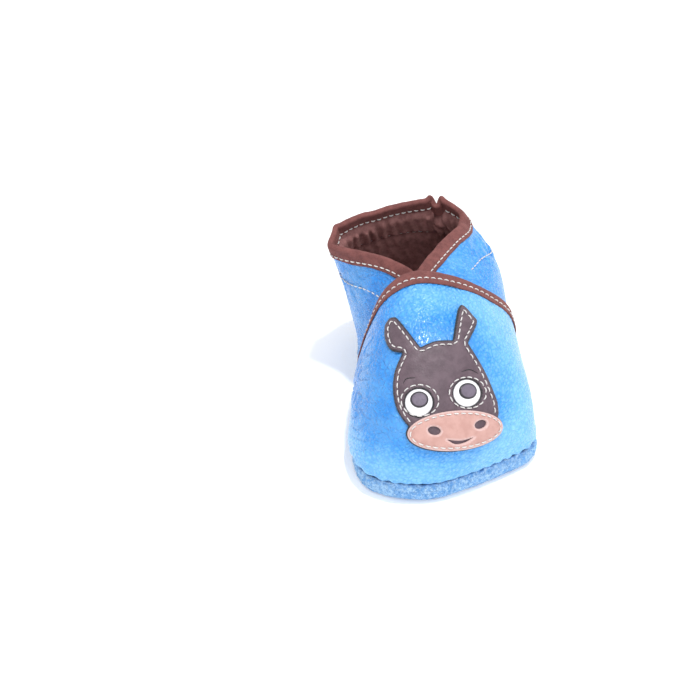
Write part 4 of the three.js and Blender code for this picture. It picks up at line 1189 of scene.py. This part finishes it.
def cut_piece(name, outline, holes, low, height, dips, material, pitch=0.42):
    """A flat cut shape laid on the vamp, with rounded edges, and dips along its stitch lines."""
    loops = [even_loop(loop, pitch) for loop in [outline, *holes]]
    x = np.arange(outline[:, 0].min(), outline[:, 0].max(), pitch)
    y = np.arange(outline[:, 1].min(), outline[:, 1].max(), pitch * 0.87)
    grid = np.stack(np.meshgrid(x, y), -1)
    grid[1::2, :, 0] += pitch / 2
    grid = grid.reshape(-1, 2)
    keep = inside(grid, loops[0]) & (distance_to(grid, loops[0]) > pitch * 0.7)
    for hole in loops[1:]:
        keep &= ~inside(grid, hole) & (distance_to(grid, hole) > pitch * 0.7)
    flat = np.concatenate([*loops, grid[keep]])
    edges, start = [], 0
    for loop in loops:
        count = len(loop)
        edges += [(start + k, start + (k + 1) % count) for k in range(count)]
        start += count
    result = delaunay_2d_cdt([Vector(p) for p in flat.tolist()], edges, [], 0, 1e-6)
    flat = np.array([tuple(p) for p in result[0]])
    triangles = np.array(result[2])
    middles = flat[triangles].mean(axis=1)
    good = inside(middles, loops[0])
    for hole in loops[1:]:
        good &= ~inside(middles, hole)
    triangles = triangles[good]
    used = np.unique(triangles)
    renumber = np.full(len(flat), -1)
    renumber[used] = np.arange(len(used))
    flat, triangles = flat[used], renumber[triangles]
    a, b, c = (flat[triangles[:, k]] for k in range(3))
    turned = (b[:, 0] - a[:, 0]) * (c[:, 1] - a[:, 1]) - (b[:, 1] - a[:, 1]) * (c[:, 0] - a[:, 0]) < 0
    triangles[turned] = triangles[turned][:, ::-1]

    to_edge = np.min([distance_to(flat, loop) for loop in loops], axis=0)
    shoulder = np.clip(to_edge / 0.75, 0, 1)
    round_off = 0.42 * (1 - np.sqrt(1 - (1 - shoulder) ** 2 * 0.98))
    top = np.full(len(flat), height) - round_off
    for line, depth, closed in dips:
        top -= depth * bell(distance_to(flat, line, closed), 0.5)
    u, v = vamp_place(flat)
    base = vamp_skin.at(u, v)
    normal = vamp_skin.normal(u, v)
    top += 0.05 * (pebbles(base + 5, 1.0) - 0.5) * shoulder + 0.06 * grain(base, 3.2, 2.0)
    count = len(flat)
    points = np.concatenate([base + normal * top[:, None], base + normal * low])
    directed = np.concatenate([triangles[:, [0, 1]], triangles[:, [1, 2]], triangles[:, [2, 0]]])
    _, first, uses = np.unique(np.sort(directed, axis=1), axis=0, return_index=True, return_counts=True)
    rim = directed[first[uses == 1]]
    faces = triangles.tolist() + (triangles[:, ::-1] + count).tolist()
    faces += np.stack([rim[:, 1], rim[:, 0], rim[:, 0] + count, rim[:, 1] + count], -1).tolist()
    tint = np.concatenate([smoothstep(to_edge, 0.4, 0.7), np.zeros(count)])
    piece = make_object(name, points, faces, material, np.concatenate([flat, flat]), tint)
    return piece


head_outline = np.concatenate([run_points(run)[:-1] for run in HEAD_RUNS])


def muzzle_line(grow):
    """The muzzle's outline, or one that lies outside it or, when grow is below 0, inside."""
    return ellipse(MUZZLE_MIDDLE, [radius + grow for radius in MUZZLE_RADII], MUZZLE_TURN)


def outside_run(loop, other):
    """The points of a loop that lie outside another loop, in order from where it comes out."""
    out = ~inside(loop, other)
    start = int(np.argmax(out & ~np.roll(out, 1)))
    return np.roll(loop, -start, axis=0)[np.roll(out, -start)]


def whole_head():
    """The head's leather goes on under the muzzle and shows as a thin rim round it."""
    head_loop = even_loop(head_outline, 0.3)
    if signed_area(head_loop) < 0:
        head_loop = head_loop[::-1]
    under = even_loop(muzzle_line(0.6), 0.3)
    return np.concatenate([outside_run(head_loop, under), outside_run(under, head_loop)])


def signed_area(loop):
    """A loop's area: above 0 when it goes anticlockwise."""
    return (loop[:, 0] * np.roll(loop[:, 1], -1) - loop[:, 1] * np.roll(loop[:, 0], -1)).sum() / 2


HEAD_SEAM_INSET = 1.5


def head_seam():
    """The stitch line inside the head's outline, from one end of the muzzle round to the other."""
    loop = even_loop(head_outline, 0.3)
    along = np.roll(loop, -1, axis=0) - np.roll(loop, 1, axis=0)
    along /= np.linalg.norm(along, axis=-1, keepdims=True)
    turned = 1 if signed_area(loop) > 0 else -1
    inset = loop + turned * HEAD_SEAM_INSET * np.stack([-along[:, 1], along[:, 0]], -1)
    clear = distance_to(inset, loop) > HEAD_SEAM_INSET * 0.93
    clear &= ~inside(inset, muzzle_line(0.8))
    start = int(np.argmax(~clear & np.roll(clear, -1))) + 1
    line = np.roll(inset, -start, axis=0)[np.roll(clear, -start)]
    line[1:-1] = 0.5 * line[1:-1] + 0.25 * (line[:-2] + line[2:])
    return line


head_line = head_seam()
eye_lines = {side: ellipse(EYE_SEAMS[side], EYE_SEAM_RADII) for side in EYES}
mouth_runs = (MOUTH[:3], [*MOUTH[2:], MOUTH[0]])
mouth_outline = np.concatenate([run_points(points, 8)[:-1] for points in mouth_runs])
brow_lines = {side: run_points(points, 10) for side, points in BROWS.items()}

head_dips = [(head_line, 0.2, False)] + [(line, 0.2, True) for line in eye_lines.values()]
head_dips += [(line, 0.16, False) for line in brow_lines.values()]
eye_holes = [ellipse(EYES[side], (EYE_RADIUS, EYE_RADIUS)) for side in EYES]
head = cut_piece("donkey_head_leather", whole_head(), eye_holes, 0.02, HEAD_TOP, head_dips, brown_leather)
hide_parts("donkey_head")

muzzle_dips = [(muzzle_line(-1), 0.2, True)]
muzzle_holes = [ellipse(middle, NOSTRIL_RADII, turn) for middle, turn in zip(NOSTRILS, NOSTRIL_TURNS)]
muzzle_holes.append(mouth_outline)
muzzle = cut_piece("donkey_muzzle_leather", muzzle_line(0), muzzle_holes, HEAD_TOP - 0.25, MUZZLE_TOP - 0.1,
                   muzzle_dips, tan_leather)
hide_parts("donkey_muzzle")

for side in EYES:
    white = cut_piece(f"eye_white_leather_{side}", ellipse(EYES[side], (EYE_RADIUS + 0.3,) * 2), [], 0.03,
                      WHITE_TOP, [], white_leather)
    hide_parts(f"eye_white_{side}")
    pupil = cut_piece(f"pupil_leather_{side}", ellipse(PUPILS[side], PUPIL_RADII), [], WHITE_TOP - 0.1,
                      WHITE_TOP + 0.6, [], pupil_leather, 0.3)
    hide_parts(f"pupil_{side}")

# ---------------------------------------------------------------- stitches

STITCH_SIDES = 8
STITCH_STEPS = 7
STITCH_LIFT = 0.2  # how high a stitch's middle stands
STITCH_DIP = 0.32  # how deep its ends go in
BROW_SIDES = 6


def stitch_row(name, points, normals, closed=False):
    """One seam: short stitches that come up out of the cloth and go down again, as one piece."""
    lengths = arc_lengths(points, closed)
    total = lengths[-1]
    count = max(int(round(total / STITCH_PITCH)), 2)
    pitch = total / count
    length = pitch * STITCH_LENGTH / STITCH_PITCH
    if closed:
        points = np.concatenate([points, points[:1]])
        normals = np.concatenate([normals, normals[:1]])
    share = np.linspace(0, 1, STITCH_STEPS)
    seed = np.arange(count)
    jitter = 0.07 * np.sin(seed * 12.9898 + len(name))
    starts = (seed + 0.5 * (1 - length / pitch)) * pitch + jitter
    at = starts[:, None] + share[None] * length
    place = np.stack([np.interp(at, lengths, points[:, k]) for k in range(3)], -1)
    normal = np.stack([np.interp(at, lengths, normals[:, k]) for k in range(3)], -1)
    normal /= np.linalg.norm(normal, axis=-1, keepdims=True)
    arch = np.sin(math.pi * share) ** 0.5
    place = place + normal * (STITCH_LIFT * arch - STITCH_DIP * (1 - arch))[None, :, None]
    along = np.gradient(place, axis=1)
    along /= np.linalg.norm(along, axis=-1, keepdims=True)
    aside = np.cross(along, normal)
    aside /= np.linalg.norm(aside, axis=-1, keepdims=True)
    slant = 0.06 * np.sin(seed * 7.31)[:, None, None] * (share - 0.5)[None, :, None]
    place = place + aside * (0.12 * (share - 0.5)[None, :, None] + slant)
    out = np.cross(aside, along)
    thick = THREAD * (0.62 + 0.38 * np.sin(math.pi * share) ** 0.6)
    angle = np.linspace(0, 2 * math.pi, STITCH_SIDES, endpoint=False)
    across, upward = (wave(angle)[None, None, :, None] for wave in (np.cos, np.sin))
    ring = aside[:, :, None] * across + out[:, :, None] * upward
    rings = place[:, :, None] + ring * thick[None, :, None, None]
    faces = []
    for k in range(count):
        faces += tube_faces(STITCH_STEPS, STITCH_SIDES, k * STITCH_STEPS * STITCH_SIDES)
    uv = np.stack([np.broadcast_to(at[:, :, None] * 2, rings.shape[:3]),
                   np.broadcast_to(angle[None, None, :], rings.shape[:3])], -1)
    piece = make_object(name, rings.reshape(-1, 3), [face[::-1] for face in faces], sewing_thread,
                        uv.reshape(-1, 2))
    return piece


def skin_row(name, skin, distance, height, start, stop):
    """Stitches a distance below a skin's top edge, on its outer side or, turned over, inside."""
    u = np.linspace(start, stop, 400)
    v = skin.down(u, distance(u) if callable(distance) else distance)
    normals = skin.normal(u, v)
    points = skin.at(u, v) + normals * height
    return stitch_row(name, points, normals if height > -LEATHER else -normals)


def face_row(name, line, height, closed):
    """Stitches along a line of the face."""
    line = even_loop(line, 0.4, closed)
    u, v = vamp_place(line)
    normals = vamp_skin.normal(u, v)
    return stitch_row(name, vamp_skin.at(u, v) + normals * height, normals, closed)


for side in EYES:
    row = face_row(f"stitches_eye_{side}", eye_lines[side], HEAD_TOP - 0.08, True)
    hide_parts(f"thread_eye_{side}")
row = face_row("stitches_muzzle", muzzle_line(-1), MUZZLE_TOP - 0.2, True)
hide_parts("thread_muzzle")
row = face_row("stitches_head", head_line, HEAD_TOP - 0.08, False)
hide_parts("thread_head")
row = skin_row("stitches_vamp_tape", vamp_skin, VAMP_SEAM, 0.5, 0.03, 0.97)
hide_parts("thread_vamp_binding")
row = skin_row("stitches_collar", quarter_skin, COLLAR_SEAM, 0.5, 0.06, 0.97)
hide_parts("thread_collar")
row = skin_row("stitches_casing", quarter_skin, casing_seam, -0.1, 0.09, 0.91)
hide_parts("thread_casing")
inside_tape = -TAPE_DEPTH * pinch(COLLAR_SEAM) + 0.12
skin_row("stitches_collar_inside_left", quarter_skin, COLLAR_SEAM, inside_tape, 0.04, PLEAT_AT - 0.025)
skin_row("stitches_collar_inside_right", quarter_skin, COLLAR_SEAM, inside_tape, PLEAT_AT + 0.03, 0.99)
skin_row("stitches_casing_inside", quarter_skin, casing_seam, -LINING_TOP - LINING - 0.22, 0.14, 0.86)
skin_row("stitches_vamp_inside", vamp_skin, VAMP_SEAM, -TAPE_DEPTH * pinch(VAMP_SEAM) + 0.12, 0.03, 0.97)


def brow(side):
    """A brow, as a dark line that rises a little from the head."""
    line = even_loop(brow_lines[side], 0.25, False)
    u, v = vamp_place(line)
    normals = vamp_skin.normal(u, v)
    points = vamp_skin.at(u, v) + normals * (HEAD_TOP - 0.12)
    along = np.gradient(points, axis=0)
    along /= np.linalg.norm(along, axis=-1, keepdims=True)
    aside = np.cross(along, normals)
    angle = np.linspace(0, 2 * math.pi, BROW_SIDES, endpoint=False)
    taper = 0.16 * np.sin(math.pi * np.linspace(0.06, 0.94, len(points))) ** 0.5
    ring = aside[:, None] * np.cos(angle)[None, :, None] + normals[:, None] * np.sin(angle)[None, :, None]
    rings = points[:, None] + ring * taper[:, None, None]
    faces = [face[::-1] for face in tube_faces(len(points), BROW_SIDES)]
    piece = make_object(f"brow_{side}", rings.reshape(-1, 3), faces, brown_leather,
                        tint=np.zeros(len(points) * BROW_SIDES))


for side in BROWS:
    brow(side)

# ---------------------------------------------------------------- floor and light


FLOOR_HALF = 12


def pale_floor():
    """A floor that gives off a little light of its own, so that it stays pale."""
    mesh = bpy.data.meshes.new("floor")
    corners = [(x * FLOOR_HALF, y * FLOOR_HALF, 0) for x, y in ((-1, -1), (1, -1), (1, 1), (-1, 1))]
    mesh.from_pydata(corners, [], [(0, 1, 2, 3)])
    floor = bpy.data.objects.new("floor", mesh)
    bpy.context.scene.collection.objects.link(floor)
    m = Nodes("floor_look", (0.95, 0.95, 0.95), 0.85)
    m.color(m.mix(m.noise(400), (0.95, 0.95, 0.95), (0.97, 0.97, 0.97)))
    mesh.materials.append(m.finish(Emission_Color=(1, 1, 1, 1), Emission_Strength=0.12))


def soft_light(name, place, size, power):
    """A round white light that is turned to the bootie."""
    data = bpy.data.lights.new(name, "AREA")
    data.shape = "DISK"
    data.size = size
    data.energy = power
    light = bpy.data.objects.new(name, data)
    light.location = place
    light.rotation_euler = (-Vector(place) + Vector((0, 0, 0.03))).to_track_quat("-Z", "Y").to_euler()
    bpy.context.scene.collection.objects.link(light)


def pale_world():
    """Even white light from all round."""
    world = bpy.data.worlds.new("studio")
    world.use_nodes = True
    background = world.node_tree.nodes["Background"]
    background.inputs["Color"].default_value = (1, 1, 1, 1)
    background.inputs["Strength"].default_value = 0.96
    bpy.context.scene.world = world


pale_floor()
pale_world()
soft_light("key", (0.05, -0.62, 0.5), 0.35, 0.9)
soft_light("overhead", (0.05, -0.12, 0.72), 0.05, 2.3)
soft_light("side", (0.4, -0.3, 0.6), 0.3, 0.3)
